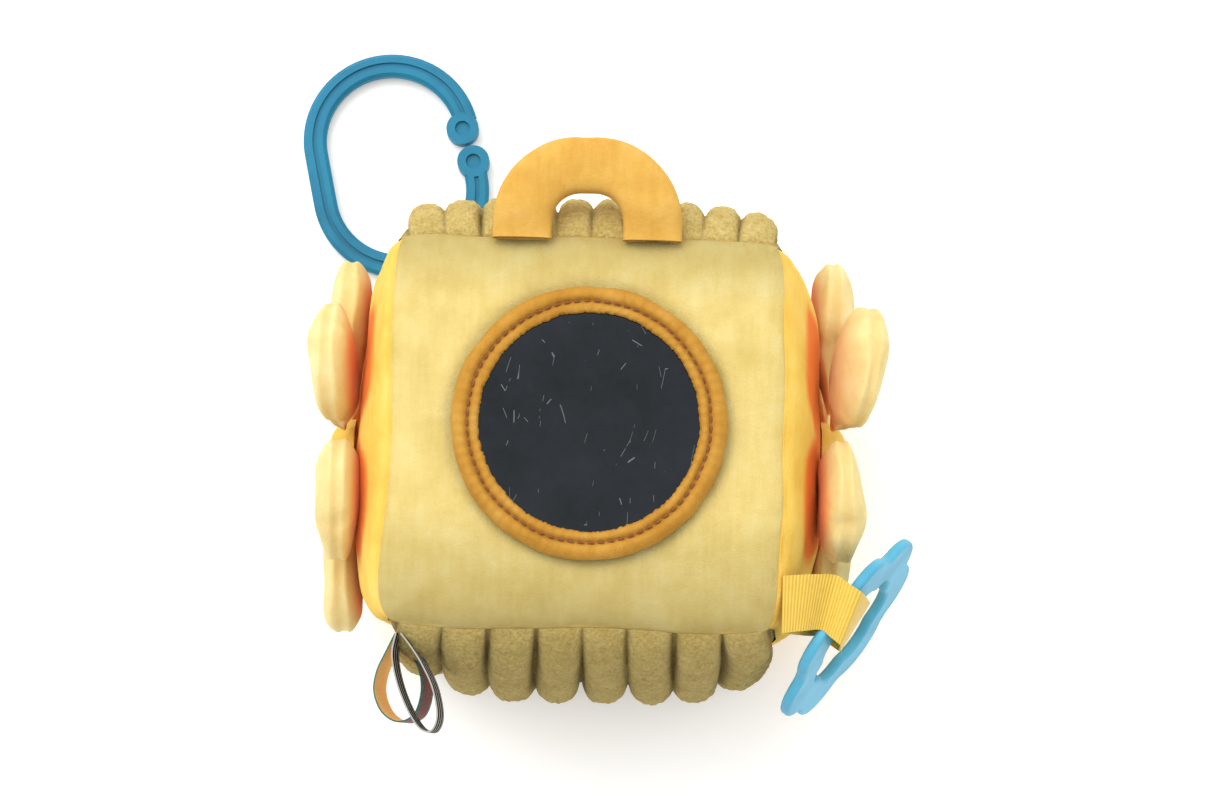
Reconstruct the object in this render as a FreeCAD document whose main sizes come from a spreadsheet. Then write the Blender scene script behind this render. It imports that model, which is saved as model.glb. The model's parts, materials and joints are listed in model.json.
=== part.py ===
import FreeCAD, Part
import math
import os

import Sketcher
from FreeCAD import Placement, Rotation, Vector

# Soft activity cube for a baby, lying on its back panel with the mirror up.
# +X is the cube's right, +Y its top (the handle side), +Z the mirror's outward normal.
# The origin is the middle of the back panel, on the surface that the cube lies on.

SIZES = [
    # Cube between its seams. Each face but the back swells outwards between the seams.
    ("cube_w", 124, "seam to seam across, X"),
    ("cube_l", 126, "seam to seam from bottom to top, Y"),
    ("cube_d", 128, "seam to seam from back to front, Z"),
    ("side_bulge", 15, "crown of the left and right panels"),
    ("rib_bulge", 14, "crown of the top and bottom panels under their ribs"),
    ("front_bulge", 5, "crown of the front panel"),
    ("squareness", 4.2, "power of the rounded square that the cube swells to at its waist"),
    ("panel_t", 2, "plush and its backing"),
    ("clearance", 0.4, "from the cube's panels to the loops sewn into its corners"),
    # Ribs of the chunky plush, front to back over the top and bottom panels.
    ("top_ribs", 10, "number of ribs on the top panel"),
    ("top_pitch", 11.4, "rib spacing on the top panel"),
    ("bottom_ribs", 8, "number of ribs on the bottom panel"),
    ("bottom_pitch", 14.2, "rib spacing on the bottom panel"),
    ("rib_fill", 0.47, "rib radius as a share of its spacing"),
    ("rib_tuck", 4, "how far a rib's ends dip under the seam"),
    ("rib_end", 4.2, "a rib's end short of the front and back faces"),
    # Mirror and its padded rim.
    ("mirror_r", 36, "mirror sheet"),
    ("mirror_t", 1.2, "mirror sheet"),
    ("mirror_x", 0.6, "middle of the mirror"),
    ("mirror_y", 2.5, "middle of the mirror"),
    ("mirror_z", 133.5, "underside of the mirror sheet"),
    ("rim_in_r", 34, "rim's inner edge, over the mirror"),
    ("rim_valley_r", 37.8, "rim's line of stitches"),
    ("rim_out_r", 42, "rim's outer edge"),
    ("rim_roll", 4, "height of the rim's outer roll"),
    ("thread_r", 0.3, "thread"),
    # Flowers: six stuffed petals round a button on each side panel.
    ("petals", 6, "petals in a flower"),
    ("petal_root_r", 11, "flower's axis to a petal's root"),
    ("petal_lobe_c", 42, "flower's axis to the middle of a petal's round end"),
    ("petal_lobe_r", 19.6, "petal's round end"),
    ("petal_neck_r", 4.5, "petal's narrow end"),
    ("petal_t", 13, "petal, full thickness"),
    ("petal_root_t", 3, "petal, pinched at its root"),
    ("petal_round", 5.4, "rounding of a petal's edges"),
    ("petal_lift", 7, "side panel's crown to a petal's middle plane"),
    ("petal_hinge_r", 12, "flower's axis to a petal's seam"),
    ("cover_t", 1.2, "plush cover of a petal or the handle"),
    ("flower_z", 64, "height of both flowers"),
    ("left_flower_y", 1.8, "left flower above the cube's middle"),
    ("right_flower_y", 5, "right flower above the cube's middle"),
    ("button_r", 8.5, "flower's button"),
    ("button_out", 9, "how far the button stands out from the panel's crown"),
    ("button_round", 3.5, "rounding of the button"),
    # Handle: a stuffed arch sewn into the front seam of the top panel.
    ("arch_w", 60, "across the legs"),
    ("arch_h", 28.8, "seam to crown"),
    ("arch_corner", 26.5, "radius of the shoulders"),
    ("gap_w", 22, "between the legs"),
    ("gap_h", 10.4, "seam to the underside"),
    ("gap_corner", 8.5, "radius of the gap's corners"),
    ("arch_t", 12, "thickness"),
    ("arch_round", 5, "rounding of the arch's edges"),
    ("arch_x", -1.6, "middle of the handle"),
    ("arch_y", 65.1, "foot of the legs"),
    ("arch_z", 131, "middle plane of the handle"),
    # Teether: a ring of seven lobes.
    ("lobes", 7, "lobes"),
    ("lobe_c", 21.5, "ring's middle to a lobe's middle"),
    ("lobe_r", 13.5, "lobe"),
    ("notch_r", 6, "hollow between two lobes"),
    ("eye_lobe_c", 12, "ring's middle to a lobe of the hole"),
    ("eye_lobe_r", 8.2, "lobe of the hole"),
    ("eye_notch_r", 4, "hump between two lobes of the hole"),
    ("teether_t", 3.6, "thickness"),
    ("teether_round", 1.3, "rounding of the edges"),
    # Ribbons.
    ("ribbon_w", 17, "teether's ribbon, width"),
    ("ribbon_t", 0.8, "teether's ribbon and clip's tab, thickness"),
    ("tab_w", 10, "clip's tab, width"),
    ("tag_t", 0.6, "tag loops, thickness"),
    ("tag_w", 10, "tag loops, width"),
    # Link clip: an oval ring with a snap gap between two knobs.
    ("link_r", 27.5, "centre line of both ends of the oval"),
    ("link_run", 19, "straight of the oval"),
    ("link_band", 8.2, "band across"),
    ("link_t", 5, "band's thickness"),
    ("groove_w", 1.6, "groove along both faces"),
    ("groove_d", 1, "depth of the groove"),
    ("knob_r", 5.8, "knobs at the gap"),
    ("knob_gap", 1, "gap between the knobs"),
    ("link_gap_y", -7.2, "middle of the gap, from the middle of the upper round end"),
    ("dimple_r", 2.7, "dimple in each knob"),
    ("dimple_d", 1.4, "depth of a dimple"),
    ("link_z", 4, "middle plane of the clip"),
    # Rattle: a round case in the stuffing with loose beads in it.
    ("case_r", 20, "case, outside"),
    ("case_t", 1.6, "wall"),
    ("bead_r", 3.6, "bead"),
    ("bead_ring_r", 8.6, "middle of the case to the outer beads"),
]

# Angle of each petal from +Y towards +Z, and how far it stands out of the flower's plane at rest.
LEFT_LEAN = [0, 3, -2, -1, -3, -1]
RIGHT_LEAN = [0, 12, 2, -0.5, 2, -1]

doc = FreeCAD.newDocument("activity_cube")
sheet = doc.addObject("Spreadsheet::Sheet", "sizes")
subparts = []


def fill_sheet():
    for row, (alias, value, note) in enumerate(SIZES, start=1):
        sheet.set(f"A{row}", alias)
        sheet.set(f"B{row}", str(value))
        sheet.set(f"C{row}", note)
        sheet.setAlias(f"B{row}", alias)
    doc.recompute()


def v(alias):
    """The value of a cell, by its alias."""
    return float(getattr(sheet, alias))


def bind(obj, **expressions):
    """Binds properties to expressions of the sheet's aliases; a dot is written as two underscores."""
    for prop, text in expressions.items():
        words = text.replace("(", " ( ").replace(")", " ) ").split()
        known = {alias for alias, _, _ in SIZES}
        words = [f"<<sizes>>.{w}" if w in known else w for w in words]
        obj.setExpression(prop.replace("__", "."), " ".join(words))
    return obj


def subpart(obj, label):
    """Marks an object as a sub-part: its label names its node."""
    obj.Label = label
    subparts.append(obj)
    return obj


def boolean(kind, name, *shapes):
    """Part::Cut and Part::Common take two objects, Part::MultiFuse takes several."""
    obj = doc.addObject(f"Part::{kind}", name)
    if kind.startswith("Multi"):
        obj.Shapes = list(shapes)
    else:
        obj.Base, obj.Tool = shapes
    return obj


def feature(shape, name, placement=None):
    """A Part::Feature for a shape that no parametric object makes."""
    obj = doc.addObject("Part::Feature", name)
    obj.Shape = shape
    if placement is not None:
        obj.Placement = placement
    return obj


def body_sketch(body, name, role="XY_Plane"):
    sketch = body.newObject("Sketcher::SketchObject", name)
    plane = next(p for p in body.Origin.OriginFeatures if p.Role == role)
    sketch.AttachmentSupport = (plane, "")
    sketch.MapMode = "FlatFace"
    return sketch


def arc3(a, b, c):
    return Part.Arc(Vector(*a), Vector(*b), Vector(*c))


def line(a, b):
    return Part.LineSegment(Vector(*a), Vector(*b))


# ---------------------------------------------------------------- the swollen cube


def section(name, half_a, low, high, bulge_a, bulge_low, bulge_high):
    """A four-sided outline whose sides swell between straight corners."""
    mid = (low + high) / 2
    corners = [(-half_a, low, 0), (half_a, low, 0), (half_a, high, 0), (-half_a, high, 0)]
    crowns = [(0, low - bulge_low, 0), (half_a + bulge_a, mid, 0), (0, high + bulge_high, 0), (-half_a - bulge_a, mid, 0)]
    sketch = doc.addObject("Sketcher::SketchObject", name)
    for k, bulge in enumerate((bulge_low, bulge_a, bulge_high, bulge_a)):
        a, b = corners[k], corners[(k + 1) % 4]
        sketch.addGeometry(arc3(a, crowns[k], b) if bulge else line(a, b), False)
    return sketch


def waist_half_length(x, inset=0):
    """Half the length, along Y, of the rounded square at the cube's waist."""
    half_w = v("cube_w") / 2 + v("side_bulge") - inset
    half_l = v("cube_l") / 2 + v("rib_bulge") - inset
    power = v("squareness")
    return half_l * max(0, 1 - (abs(x) / half_w) ** power) ** (1 / power)


def waist_outline(name, inset):
    """The rounded square as one closed spline through points spread evenly round it."""
    half_w = v("cube_w") / 2 + v("side_bulge") - inset
    half_l = v("cube_l") / 2 + v("rib_bulge") - inset
    exponent = 2 / v("squareness")
    points = []
    for k in range(32):
        turn = 2 * math.pi * (k + 0.5) / 32
        c, s = math.cos(turn), math.sin(turn)
        points.append(
            Vector(
                math.copysign(half_w * abs(c) ** exponent, c),
                math.copysign(half_l * abs(s) ** exponent, s),
                0,
            )
        )
    spline = Part.BSplineCurve()
    spline.interpolate(Points=points, PeriodicFlag=True)
    sketch = doc.addObject("Sketcher::SketchObject", name)
    sketch.addGeometry(spline, False)
    return sketch


def prism(sketch, name, placement, length):
    sketch.Placement = placement
    solid = doc.addObject("Part::Extrusion", name)
    solid.Base = sketch
    solid.DirMode = "Normal"
    solid.Solid = True
    solid.Symmetric = True
    return bind(solid, LengthFwd=length)


def swollen_cube(name, inset):
    """Common of three prisms, one along each axis. The front and back seams stay straight."""
    half_w, half_l = v("cube_w") / 2 - inset, v("cube_l") / 2 - inset
    low, high = inset, v("cube_d") - inset
    side, rib, front = v("side_bulge"), v("rib_bulge"), v("front_bulge")
    along_z = Placement(Vector(0, 0, 0), Rotation())
    along_y = Placement(Vector(0, 0, 0), Rotation(Vector(1, 0, 0), 90))
    along_x = Placement(Vector(0, 0, 0), Rotation(Vector(0, 1, 0), Vector(0, 0, 1), Vector(1, 0, 0), "XYZ"))
    plan = prism(waist_outline(name + "_plan", inset), name + "_z", along_z, "cube_d * 4")
    end = prism(section(name + "_end", half_w, low, high, side, 0, front), name + "_y", along_y, "cube_l * 2")
    profile = prism(section(name + "_profile", half_l, low, high, rib, 0, front), name + "_x", along_x, "cube_w * 2")
    return boolean("Common", name, boolean("Common", name + "_two", plan, end), profile)


def seam_wedge(name, across, along, outward):
    """A frustum from near the cube's middle out through one face's four seams, so that neighbours meet on a mitre.
    across, along and outward are the half sizes of the face and its distance from the middle."""
    inner, outer = 0.5, 1.5
    wedge = doc.addObject("Part::Wedge", name)
    bind(
        wedge,
        Ymin=f"{inner} * {outward}", Ymax=f"{outer} * {outward}",
        Xmin=f"-{inner} * {across}", Xmax=f"{inner} * {across}",
        Zmin=f"-{inner} * {along}", Zmax=f"{inner} * {along}",
        X2min=f"-{outer} * {across}", X2max=f"{outer} * {across}",
        Z2min=f"-{outer} * {along}", Z2max=f"{outer} * {along}",
    )
    return wedge


def aim(wedge, outward, along):
    """Turns a wedge, which points along +Y with its length along Z, and puts its apex at the cube's middle."""
    turn = Rotation(outward.cross(along), outward, along, "YZX")
    wedge.Placement = Placement(Vector(0, 0, v("cube_d") / 2), turn)
    return wedge


def rib_line(name, x, pitch, side):
    """One rib: part of a torus that arches from the front seam over the panel to the back seam."""
    mid, half_d = v("cube_d") / 2, v("cube_d") / 2 - v("rib_end")
    radius = v("rib_fill") * pitch
    crown = waist_half_length(x)
    foot = v("cube_l") / 2 - v("rib_tuck")
    rise = crown - foot
    arc_r = (half_d**2 + rise**2) / (2 * rise)
    half_angle = math.degrees(math.asin(half_d / arc_r))
    rib = doc.addObject("Part::Torus", name)
    rib.Radius1, rib.Radius2, rib.Angle3 = arc_r, radius, 2 * half_angle
    centre = Vector(x, side * (crown - arc_r), mid)
    start = Rotation(Vector(0, 0, 1), -half_angle)
    lie = Rotation(Vector(0, side, 0), Vector(0, 0, side), Vector(1, 0, 0), "ZXY")
    rib.Placement = Placement(centre, lie.multiply(start))
    return rib


def make_cube(outer, inner):
    half_w, half_l, half_d = "cube_w / 2", "cube_l / 2", "cube_d / 2"
    up, right, top = Vector(0, 0, 1), Vector(1, 0, 0), Vector(0, 1, 0)
    skin = boolean("Cut", "skin", outer, inner)
    faces = {
        "front_panel": (up, top, half_w, half_l, half_d),
        "back_panel": (-up, top, half_w, half_l, half_d),
        "right_side_panel": (right, top, half_d, half_l, half_w),
        "left_side_panel": (-right, top, half_d, half_l, half_w),
    }
    for label, (outward, along, across, length, distance) in faces.items():
        wedge = aim(seam_wedge(label + "_wedge", across, length, distance), outward, along)
        subpart(boolean("Common", label + "_solid", skin, wedge), label)
    for side, word in ((1, "top"), (-1, "bottom")):
        count, pitch = int(v(word + "_ribs")), v(word + "_pitch")
        ribs = [rib_line(f"{word}_rib_{k}", (k - (count - 1) / 2) * pitch, pitch, side) for k in range(count)]
        ribbed = boolean("Cut", word + "_ribbed", boolean("MultiFuse", word + "_all", outer, *ribs), inner)
        wedge = aim(seam_wedge(word + "_wedge", half_w, half_d, half_l), side * top, up)
        subpart(boolean("Common", word + "_solid", ribbed, wedge), f"{word}_ribbed_panel")


# ---------------------------------------------------------------- stuffing and rattle


def make_core(inner):
    centre = Vector(0, 0, v("cube_d") / 2)
    outside = bind(doc.addObject("Part::Sphere", "case_outside"), Radius="case_r")
    inside = bind(doc.addObject("Part::Sphere", "case_inside"), Radius="case_r - case_t")
    outside.Placement.Base = inside.Placement.Base = centre
    subpart(boolean("Cut", "stuffing_solid", inner, outside), "body_stuffing")
    wall = boolean("Cut", "case_wall", outside, inside)
    for label, foot in (("rattle_case_upper", 0), ("rattle_case_lower", -1)):
        half = bind(doc.addObject("Part::Box", label + "_half"), Length="4 * case_r", Width="4 * case_r", Height="2 * case_r")
        half.Placement.Base = centre + Vector(-2 * v("case_r"), -2 * v("case_r"), foot * 2 * v("case_r"))
        subpart(boolean("Common", label + "_solid", wall, half), label)
    make_beads(centre)


def make_beads(centre):
    """One bead in the bottom of the case with five round it, all lying on the case's wall."""
    bead_r, clear_r = v("bead_r"), v("case_r") - v("case_t") - v("bead_r") - 0.1
    places = [Vector(0, 0, -clear_r)]
    for k in range(5):
        turn = math.radians(72 * k)
        ring = v("bead_ring_r")
        places.append(Vector(ring * math.cos(turn), ring * math.sin(turn), -math.sqrt(clear_r**2 - ring**2)))
    beads = [Part.makeSphere(bead_r, centre + p) for p in places]
    subpart(feature(Part.makeCompound(beads), "beads"), "rattle_beads")


# ---------------------------------------------------------------- mirror


def make_mirror(outer):
    pad = bind(doc.addObject("Part::Cylinder", "pad_blank"), Radius="rim_out_r", Height="2 * front_bulge")
    bind(pad, Placement__Base__z="mirror_z - 2 * front_bulge")
    centre_on_mirror(pad)
    subpart(boolean("Cut", "pad_solid", pad, outer), "mirror_backing_pad")
    disc = bind(doc.addObject("Part::Cylinder", "mirror_solid"), Radius="mirror_r", Height="mirror_t")
    bind(disc, Placement__Base__z="mirror_z")
    centre_on_mirror(disc)
    subpart(disc, "mirror")
    rim = make_rim()
    rings = []
    for name, radius in (("thread_solid", "thread_r"), ("thread_groove", "thread_r + 0.1")):
        ring = bind(doc.addObject("Part::Torus", name), Radius1="rim_valley_r", Radius2=radius)
        bind(ring, Placement__Base__z="mirror_z + mirror_t + rim_roll / 4 + thread_r")
        centre_on_mirror(ring)
        rings.append(ring)
    subpart(boolean("Cut", "rim_solid", rim, rings[1]), "mirror_rim")
    subpart(rings[0], "mirror_stitching")


def centre_on_mirror(obj):
    bind(obj, Placement__Base__x="mirror_x", Placement__Base__y="mirror_y")


def make_rim():
    """Two padded rolls with the stitch line in the valley between them, turned about the mirror's axis."""
    seat, lap = v("mirror_z"), v("mirror_z") + v("mirror_t")
    step_r, valley = v("mirror_r") + 0.2, lap + v("rim_roll") / 4
    r_in, r_mid, r_out = v("rim_in_r"), v("rim_valley_r"), v("rim_out_r")
    body = doc.addObject("PartDesign::Body", "rim_body")
    sketch = body_sketch(body, "rim_profile", "XZ_Plane")
    sketch.addGeometry(
        [
            line((step_r, seat, 0), (r_out, seat, 0)),
            arc3((r_out, seat, 0), ((r_out + r_mid) / 2, seat + v("rim_roll"), 0), (r_mid, valley, 0)),
            arc3((r_mid, valley, 0), ((r_mid + r_in) / 2, lap + v("rim_roll") / 2, 0), (r_in, lap, 0)),
            line((r_in, lap, 0), (step_r, lap, 0)),
            line((step_r, lap, 0), (step_r, seat, 0)),
        ],
        False,
    )
    turned = body.newObject("PartDesign::Revolution", "rim_turned")
    turned.Profile = sketch
    turned.ReferenceAxis = (sketch, ["V_Axis"])
    turned.Angle = 360
    centre_on_mirror(body)
    return body


# ---------------------------------------------------------------- flowers


def petal_outline(body, name, inset):
    """A teardrop: a round end and a narrow end joined by two tangents. The flower's axis is at x = 0."""
    big_r, small_r = v("petal_lobe_r") - inset, v("petal_neck_r") - inset
    big_c, small_c = v("petal_lobe_c"), v("petal_root_r") + v("petal_neck_r")
    lean = math.acos((small_r - big_r) / (big_c - small_c))
    sketch = body_sketch(body, name)
    touch = Vector(math.cos(lean), math.sin(lean), 0)
    mirror_touch = Vector(touch.x, -touch.y, 0)
    big, small = Vector(big_c, 0, 0), Vector(small_c, 0, 0)
    axis = Vector(0, 0, 1)
    sketch.addGeometry(Part.ArcOfCircle(Part.Circle(big, axis, big_r), -lean, lean), False)
    sketch.addGeometry(Part.LineSegment(big + touch * big_r, small + touch * small_r), False)
    sketch.addGeometry(Part.ArcOfCircle(Part.Circle(small, axis, small_r), lean, 2 * math.pi - lean), False)
    sketch.addGeometry(Part.LineSegment(small + mirror_touch * small_r, big + mirror_touch * big_r), False)
    start, end = 1, 2
    for a, pa, b, pb in ((0, end, 1, start), (1, end, 2, start), (2, end, 3, start), (3, end, 0, start)):
        sketch.addConstraint(Sketcher.Constraint("Tangent", a, pa, b, pb))
    centre, x_axis, y_axis = 3, -1, -2
    for arc in (0, 2):
        sketch.addConstraint(Sketcher.Constraint("PointOnObject", arc, centre, x_axis))
    sizes = (("big_r", "Radius", (0,), f"petal_lobe_r - {inset}"), ("small_r", "Radius", (2,), f"petal_neck_r - {inset}"))
    for word, kind, where, text in sizes:
        index = sketch.addConstraint(Sketcher.Constraint(kind, *where, v(text.split()[0]) - inset))
        sketch.renameConstraint(index, word)
        bind(sketch, **{f"Constraints__{word}": text})
    places = (("big_c", 0, big_c, "petal_lobe_c"), ("small_c", 2, small_c, "petal_root_r + petal_neck_r"))
    for word, arc, value, text in places:
        index = sketch.addConstraint(Sketcher.Constraint("DistanceX", y_axis, 1, arc, centre, value))
        sketch.renameConstraint(index, word)
        bind(sketch, **{f"Constraints__{word}": text})
    return sketch


def petal_solid(name, inset):
    """A padded teardrop with rounded edges, pinched towards its root."""
    body = doc.addObject("PartDesign::Body", name + "_body")
    pad = body.newObject("PartDesign::Pad", name + "_pad")
    pad.Profile = petal_outline(body, name + "_outline", inset)
    pad.Midplane = True
    bind(pad, Length=f"petal_t - {2 * inset}")
    doc.recompute()
    rounded = body.newObject("PartDesign::Fillet", name + "_rounded")
    rounded.Base = (pad, [f"Face{k + 1}" for k, f in enumerate(pad.Shape.Faces) if abs(f.normalAt(0, 0).z) > 0.9])
    bind(rounded, Radius=f"petal_round - {inset}")
    taper = doc.addObject("Part::Wedge", name + "_taper")
    full_at = (v("petal_root_r") + v("petal_lobe_c")) / 2
    root, far = v("petal_root_r"), v("petal_lobe_c") + 2 * v("petal_lobe_r")
    slope = (v("petal_t") - v("petal_root_t")) / 2 / (full_at - root)
    taper.Ymin, taper.Ymax = root - 1, far
    half_wide = 2 * v("petal_lobe_r")
    taper.Xmin, taper.Xmax, taper.X2min, taper.X2max = -half_wide, half_wide, -half_wide, half_wide
    near_half = v("petal_root_t") / 2 - inset + (0.3 if inset else 0) - slope
    far_half = near_half + slope * (far - root + 1)
    taper.Zmin, taper.Zmax, taper.Z2min, taper.Z2max = -near_half, near_half, -far_half, far_half
    taper.Placement = Placement(Vector(0, 0, 0), Rotation(Vector(0, 0, 1), -90))
    return boolean("Common", name, body, taper)


def petal_placement(side, y, angle, lean):
    """Local +X runs from the flower's axis to the tip and local +Z out of the cube. Lean turns the petal about its seam."""
    out = Vector(side, 0, 0)
    ray = Vector(0, math.cos(math.radians(angle)), math.sin(math.radians(angle)))
    axis = Vector(side * (v("cube_w") / 2 + v("side_bulge") + v("petal_lift")), y, v("flower_z"))
    flat = Placement(axis, Rotation(ray, out.cross(ray), out, "XZY"))
    seam = axis + ray * v("petal_hinge_r")
    return Placement(seam, Rotation(ray.cross(out), lean)).multiply(Placement(-seam, Rotation())).multiply(flat)


def make_flowers(outer):
    whole = petal_solid("petal_whole", 0)
    filling = petal_solid("petal_filling", v("cover_t"))
    cover = boolean("Cut", "petal_cover", whole, filling)
    doc.recompute()
    step = 360 / v("petals")
    for side, word, leans in ((-1, "left", LEFT_LEAN), (1, "right", RIGHT_LEAN)):
        y = v(word + "_flower_y")
        for k, lean in enumerate(leans):
            place = petal_placement(side, y, step * k, lean)
            subpart(feature(cover.Shape, f"{word}_cover_{k}", place), f"{word}_petal_{k + 1}_cover")
            subpart(feature(filling.Shape, f"{word}_filling_{k}", place), f"{word}_petal_{k + 1}_filling")
        make_button(side, word, y, outer)


def make_button(side, word, y, outer):
    """Puffy button over the petals' roots; its underside follows the side panel."""
    blank = bind(doc.addObject("Part::Cylinder", word + "_button_blank"), Radius="button_r", Height="2 * button_out")
    doc.recompute()
    round_top = doc.addObject("Part::Fillet", word + "_button_round")
    round_top.Base = blank
    rim = [k + 1 for k, e in enumerate(blank.Shape.Edges) if e.Closed and e.CenterOfMass.z > v("button_out")]
    round_top.Edges = [(k, v("button_round"), v("button_round")) for k in rim]
    crown = v("cube_w") / 2 + v("side_bulge")
    turn = Rotation(Vector(0, 0, 1), Vector(side, 0, 0))
    round_top.Placement = Placement(Vector(side * (crown - v("button_out")), y, v("flower_z")), turn)
    subpart(boolean("Cut", word + "_button_solid", round_top, outer), f"{word}_flower_button")


# ---------------------------------------------------------------- handle


def arch_outline(body, name, inset):
    """Outer shoulders, legs and the gap between them, as one closed outline with its foot at y = 0."""
    half, high, corner = v("arch_w") / 2 - inset, v("arch_h") - inset, v("arch_corner") - inset
    gap, roof, bend = v("gap_w") / 2 + inset, v("gap_h") + inset, v("gap_corner") + inset
    diagonal = 1 - math.sqrt(0.5)
    sketch = body_sketch(body, name)
    for s in (-1, 1):
        sketch.addGeometry(
            [
                line((s * gap, inset, 0), (s * half, inset, 0)),
                line((s * half, inset, 0), (s * half, high - corner, 0)),
                arc3(
                    (s * half, high - corner, 0),
                    (s * (half - corner * diagonal), high - corner * diagonal, 0),
                    (s * (half - corner), high, 0),
                ),
                line((s * gap, inset, 0), (s * gap, roof - bend, 0)),
                arc3(
                    (s * gap, roof - bend, 0),
                    (s * (gap - bend * diagonal), roof - bend * diagonal, 0),
                    (s * (gap - bend), roof, 0),
                ),
            ],
            False,
        )
    sketch.addGeometry(line((-(half - corner), high, 0), (half - corner, high, 0)), False)
    sketch.addGeometry(line((-(gap - bend), roof, 0), (gap - bend, roof, 0)), False)
    return sketch


def arch_solid(name, inset):
    body = doc.addObject("PartDesign::Body", name)
    pad = body.newObject("PartDesign::Pad", name + "_pad")
    pad.Profile = arch_outline(body, name + "_outline", inset)
    pad.Midplane = True
    bind(pad, Length=f"arch_t - {2 * inset}")
    doc.recompute()
    rounded = body.newObject("PartDesign::Fillet", name + "_rounded")
    long_edges = []
    for k, edge in enumerate(pad.Shape.Edges, start=1):
        flat = abs(edge.BoundBox.ZLength) < 1e-6
        if flat and edge.BoundBox.YMax > inset + 0.1:
            long_edges.append(f"Edge{k}")
    rounded.Base = (pad, long_edges)
    bind(rounded, Radius=f"arch_round - {inset}")
    return body


def make_handle():
    whole = arch_solid("arch_whole", 0)
    filling = arch_solid("arch_filling", v("cover_t"))
    place = Placement(Vector(v("arch_x"), v("arch_y"), v("arch_z")), Rotation())
    whole.Placement = filling.Placement = place
    subpart(boolean("Cut", "arch_cover", whole, filling), "handle_cover")
    subpart(filling, "handle_filling")


# ---------------------------------------------------------------- teether and its ribbon


def lobed_outline(count, centre_r, lobe_r, notch_r):
    """Round lobes joined by tangent hollows; a hollow lies on +Y, where the ribbon sits."""
    half = math.pi / count
    notch_c = centre_r * math.cos(half) + math.sqrt((lobe_r + notch_r) ** 2 - (centre_r * math.sin(half)) ** 2)
    arcs = []
    for k in range(count):
        turn = math.pi / 2 + 2 * k * half
        notch = Vector(notch_c * math.cos(turn), notch_c * math.sin(turn), 0)
        lobes = []
        for side in (-1, 1):
            lobe = Vector(centre_r * math.cos(turn + side * half), centre_r * math.sin(turn + side * half), 0)
            lobes.append(lobe + (notch - lobe).normalize() * lobe_r)
        inmost = notch - Vector(math.cos(turn), math.sin(turn), 0) * notch_r
        arcs.append(Part.Arc(lobes[0], inmost, lobes[1]))
        crest = turn + half
        tip = Vector(math.cos(crest), math.sin(crest), 0) * (centre_r + lobe_r)
        step = 2 * half
        onward = Rotation(Vector(0, 0, 1), math.degrees(step)).multVec(lobes[0])
        arcs.append(Part.Arc(lobes[1], tip, onward))
    return arcs


# The ring hangs almost upright beside the cube, its long way down and to the right of the handle's direction.
TEETHER_MIDDLE = Vector(85.9, -56.9, 87.5)
TEETHER_LONG = Vector(0.576, 0.817, 0)
TEETHER_LEAN = 12.5
RIBBON_SEAM = Vector(63.4, -52, 127)
RIBBON_LOOP_WAY = (0.4, 0.917, 0)
RIBBON_SLACK = 2.2
RIBBON_HIGH = 0.8
RIBBON_LOW = 0.8


def teether_frame():
    """Local +X along the long way, local +Y up the ring, local +Z out of the face that looks away from the cube."""
    long_way = Vector(TEETHER_LONG).normalize()
    level = long_way.cross(Vector(0, 0, 1))
    tilt = math.radians(TEETHER_LEAN)
    face = level * math.cos(tilt) + Vector(0, 0, 1) * math.sin(tilt)
    return Placement(TEETHER_MIDDLE, Rotation(long_way, face.cross(long_way), face, "XZY"))


def make_teether():
    body = doc.addObject("PartDesign::Body", "teether_body")
    pad = body.newObject("PartDesign::Pad", "teether_pad")
    sketch = body_sketch(body, "teether_outline")
    sketch.addGeometry(lobed_outline(int(v("lobes")), v("lobe_c"), v("lobe_r"), v("notch_r")), False)
    sketch.addGeometry(lobed_outline(int(v("lobes")), v("eye_lobe_c"), v("eye_lobe_r"), v("eye_notch_r")), False)
    pad.Profile = sketch
    pad.Midplane = True
    bind(pad, Length="teether_t")
    doc.recompute()
    rounded = body.newObject("PartDesign::Fillet", "teether_rounded")
    rounded.Base = (pad, [f"Face{k + 1}" for k, f in enumerate(pad.Shape.Faces) if abs(f.normalAt(0, 0).z) > 0.9])
    bind(rounded, Radius="teether_round")
    body.Placement = teether_frame()
    subpart(body, "teether")


def band(outline, thickness, sweep, name):
    """A closed strip: a polygon's wall thickened outwards and drawn along a vector, with its corners rounded."""
    inner = Part.Face(Part.makePolygon([*outline, outline[0]]))
    outer = inner.makeOffset2D(thickness)
    return feature(outer.cut(inner).extrude(sweep), name)


def rung(middle, width_way, depth):
    """Four corners of a thin rectangle across a ribbon."""
    half_w = Vector(width_way).normalize() * (v("ribbon_w") / 2)
    return [middle - half_w, middle + half_w, middle + half_w + depth, middle - half_w + depth]


def faceted_band(rungs):
    """A closed solid of triangles through a row of rectangles. A twisted stretch is split along the same
    diagonal on both of its broad faces, which keeps its thickness."""
    quads = [rungs[0][::-1], rungs[-1]]
    for near, far in zip(rungs, rungs[1:]):
        quads.append((near[0], near[1], far[1], far[0]))
        quads.append((near[1], near[2], far[2], far[1]))
        quads.append((far[2], near[2], near[3], far[3]))
        quads.append((near[3], near[0], far[0], far[3]))
    faces = []
    for a, b, c, d in quads:
        faces += [Part.Face(Part.makePolygon([a, b, c, a])), Part.Face(Part.makePolygon([a, c, d, a]))]
    solid = Part.Solid(Part.Shell(faces))
    if solid.Volume < 0:
        solid.reverse()
    return solid


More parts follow.
